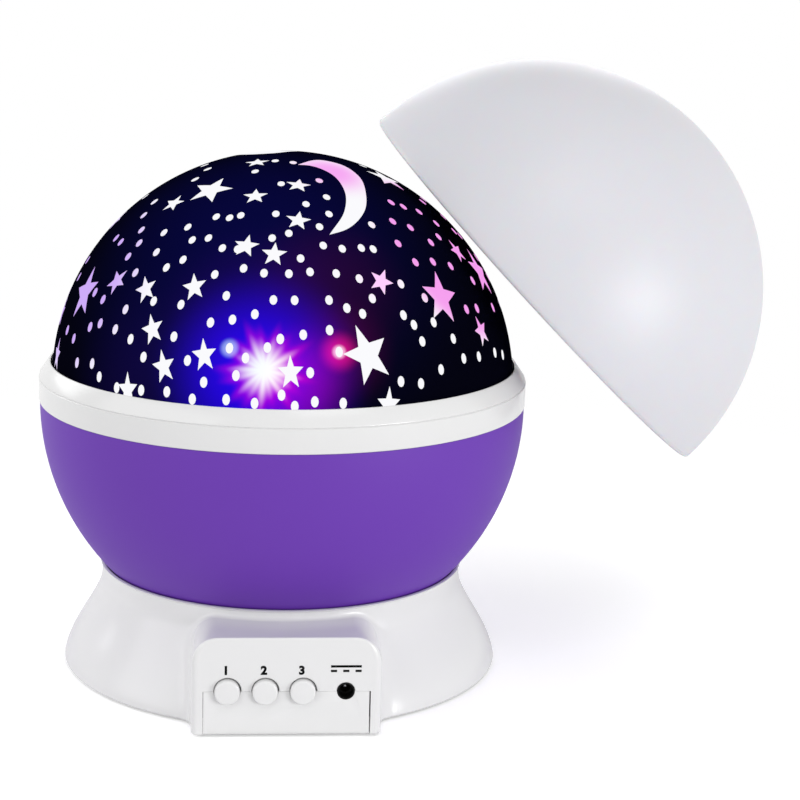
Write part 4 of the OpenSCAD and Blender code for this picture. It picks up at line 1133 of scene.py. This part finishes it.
def place_camera(scene, settings):
    """The camera, from its place, yaw, pitch and roll."""
    yaw, pitch, roll = settings.camera_yaw, settings.camera_pitch, settings.camera_roll
    ahead = Vector((math.sin(yaw) * math.cos(pitch), math.cos(yaw) * math.cos(pitch), -math.sin(pitch)))
    level = Vector((math.cos(yaw), -math.sin(yaw), 0))
    above = level.cross(ahead)
    right = math.cos(roll) * level + math.sin(roll) * above
    up = -math.sin(roll) * level + math.cos(roll) * above
    data = bpy.data.cameras.new("camera")
    data.sensor_width = SENSOR_MM
    data.lens = FOCAL_MM
    camera = bpy.data.objects.new("camera", data)
    camera.matrix_world = Matrix((
        (right.x, up.x, -ahead.x, CAMERA_AT.x), (right.y, up.y, -ahead.y, CAMERA_AT.y),
        (right.z, up.z, -ahead.z, CAMERA_AT.z), (0, 0, 0, 1)))
    scene.collection.objects.link(camera)
    scene.camera = camera


# ---------------------------------------------------------------- the film's light

# Painted rays of light round the burst: how many, their turn in radians, and their share of its reach.
RAYS = [(9, 0.4, 0.11), (17, 1.9, 0.09), (5, 1.1, 0.05)]
# Painted glows of the lamps on the film: turn, height, full and no glow in mm, colour, with rays or without.
GLOWS = [
    (-12, 44, 0, 60, "#030338", False),
    (-32, 8, 0, 34, "#0A0330", False),
    (-10, 27, 0, 27, "#12003F", False),
    (11, 34, 0, 24, "#1F0007", False),
    (-7.5, 13.5, 0, 28, "#2100E3", False),
    (1, 11.5, 0, 16, "#7C0038", False),
    (*BURST, 2, 11, "#C40000", True),
    (*BURST, 0.6, 7.6, "#95FF7C", True),
    (*RED_SPOT, 0, 16, "#350027", False),
    (*RED_SPOT, 0, 6, "#CB0D59", False),
    (*RED_SPOT, 0.9, 2, "#95AAAA", False),
    (*CYAN_SPOT, 0.9, 2.7, "#899E7C", False),
]
# Painted coloured light of the lamps in the windows: turn, height, full and no tint in mm, colour.
PAINTED_WINDOW_LIGHT = [
    (-72, 28, 12, 31, "#CDAAF8"),
    (64, 40, 19, 27, "#F59EEE"),
    (26, 35, 1, 7, "#FFCDFF"),
    (33, 71, 1, 14, "#F6A8F2"),
]


def round_patch(tree, place, az, el, near_mm, far_mm):
    """One at a place on the film, falling to nothing at the far distance."""
    away = add_node(tree, "ShaderNodeVectorMath", {0: place, 1: dome_point(az, el, FILM_R)},
                    operation="DISTANCE")
    return add_node(tree, "ShaderNodeMapRange",
                    {"Value": away.outputs["Value"], "From Min": near_mm * MM, "From Max": far_mm * MM,
                     "To Min": 1.0, "To Max": 0.0}, interpolation_type="SMOOTHERSTEP").outputs["Result"]


def rays(tree, place, az, el):
    """A place whose distance to the burst wavers with its direction, which draws the rays."""
    centre = dome_point(az, el, FILM_R)
    away = add_node(tree, "ShaderNodeVectorMath", {0: place, 1: centre},
                    operation="SUBTRACT").outputs["Vector"]
    split = add_node(tree, "ShaderNodeSeparateXYZ", {"Vector": away})
    turn = add_node(tree, "ShaderNodeMath", {0: split.outputs["Z"], 1: split.outputs["X"]},
                    operation="ARCTAN2").outputs["Value"]
    wave = 1.0
    for count, shift, share in RAYS:
        angle_in = add_node(tree, "ShaderNodeMath", {0: turn, 1: count, 2: shift}, operation="MULTIPLY_ADD")
        sine = add_node(tree, "ShaderNodeMath", {0: angle_in.outputs["Value"]}, operation="SINE")
        wave = add_node(tree, "ShaderNodeMath", {0: sine.outputs["Value"], 1: share, 2: wave},
                        operation="MULTIPLY_ADD").outputs["Value"]
    bent = add_node(tree, "ShaderNodeVectorMath", {0: away, "Scale": wave},
                    operation="SCALE").outputs["Vector"]
    return add_node(tree, "ShaderNodeVectorMath", {0: bent, 1: centre}, operation="ADD").outputs["Vector"]


def night_material(finish):
    """Polyester film printed with near-black ink: a dark matt skin, with the glow of the lamps behind it
    painted on as emission.
    """
    material, tree, shader = principled("printed_night_film", Roughness=0.35, Specular_IOR_Level=0.0,
                                        Base_Color=tuple(finish.night), Emission_Strength=1.0)
    place = add_node(tree, "ShaderNodeTexCoord").outputs["Object"]
    wavering = rays(tree, place, *BURST)
    glow = (0.0, 0.0, 0.0)
    for az, el, near, far, code, rayed in GLOWS:
        mask = round_patch(tree, wavering if rayed else place, az, el, near, far)
        glow = add_node(tree, "ShaderNodeVectorMath", {0: mask, 1: hex_to_linear(code)[:3], 2: glow},
                        operation="MULTIPLY_ADD").outputs["Vector"]
    tree.links.new(glow, shader.inputs["Emission Color"])
    return material


def window_material():
    """Clear polyester with the lamps' light behind it painted on as emission: white, lilac at the left and
    pink at the right.
    """
    material, tree, shader = principled("clear_film_window", Roughness=0.35, Specular_IOR_Level=0.0,
                                        Base_Color=hex_to_linear("#1A1A1A"), Emission_Strength=1.0)
    place = add_node(tree, "ShaderNodeTexCoord").outputs["Object"]
    # The windows' painted light: white, with patches of painted lilac and pink light mixed in.
    tint = hex_to_linear("#F9F9FC")
    for az, el, near, far, code in PAINTED_WINDOW_LIGHT:
        mask = round_patch(tree, place, az, el, near, far)
        tint = add_node(tree, "ShaderNodeMix", {"Factor": mask, "A": tint, "B": hex_to_linear(code)},
                        data_type="RGBA").outputs["Result"]
    tree.links.new(tint, shader.inputs["Emission Color"])
    return material


# ---------------------------------------------------------------- finishes of the shown pieces

materials = {}                                         # the shared finishes by their short names


class LAMP_OT_materials(bpy.types.Operator):
    """Makes the finishes that the pieces share"""
    bl_idname = "lamp.materials"
    bl_label = "Finishes"

    def execute(self, context):
        finish = context.scene.lamp_finish
        materials["white"] = glossy_abs(finish)
        materials["purple"] = satin_pp(finish)
        materials["milky"] = frosted_pp(finish)
        materials["night"] = night_material(finish)
        materials["window"] = window_material()
        # pad-printed ink: flat matt black
        materials["ink"] = plain("pad_printed_ink", finish.ink, 0.6, depth_mm=0.001, gloss=0.08)
        return {"FINISHED"}


# ---------------------------------------------------------------- sidebar and start

OPERATORS = (
    LAMP_OT_materials, LAMP_OT_base_housing, LAMP_OT_bottom_cover, LAMP_OT_buttons, LAMP_OT_marks,
    LAMP_OT_bowl, LAMP_OT_ring, LAMP_OT_star_film, LAMP_OT_cover, LAMP_OT_inner_pieces, LAMP_OT_stage,
)


class LAMP_PT_sidebar(bpy.types.Panel):
    """Lists the sizes, the colours and the pieces"""
    bl_label = "Night light"
    bl_idname = "LAMP_PT_sidebar"
    bl_space_type = "VIEW_3D"
    bl_region_type = "UI"
    bl_category = "Night light"

    def draw(self, context):
        column = self.layout.column()
        for name, group in GROUPS.items():
            box = column.box()
            for prop in group.__annotations__:
                box.prop(getattr(context.scene, name), prop)
        for operator in OPERATORS:
            column.operator(operator.bl_idname)


CLASSES = tuple(GROUPS.values()) + OPERATORS + (LAMP_PT_sidebar,)


def register():
    for cls in CLASSES:
        bpy.utils.register_class(cls)
    for name, group in GROUPS.items():
        setattr(bpy.types.Scene, name, bpy.props.PointerProperty(type=group))


def unregister():
    for name in GROUPS:
        delattr(bpy.types.Scene, name)
    for cls in reversed(CLASSES):
        bpy.utils.unregister_class(cls)


def main():
    register()
    for operator in OPERATORS:
        group, name = operator.bl_idname.split(".")
        getattr(getattr(bpy.ops, group), name)()


if __name__ == "__main__":
    main()
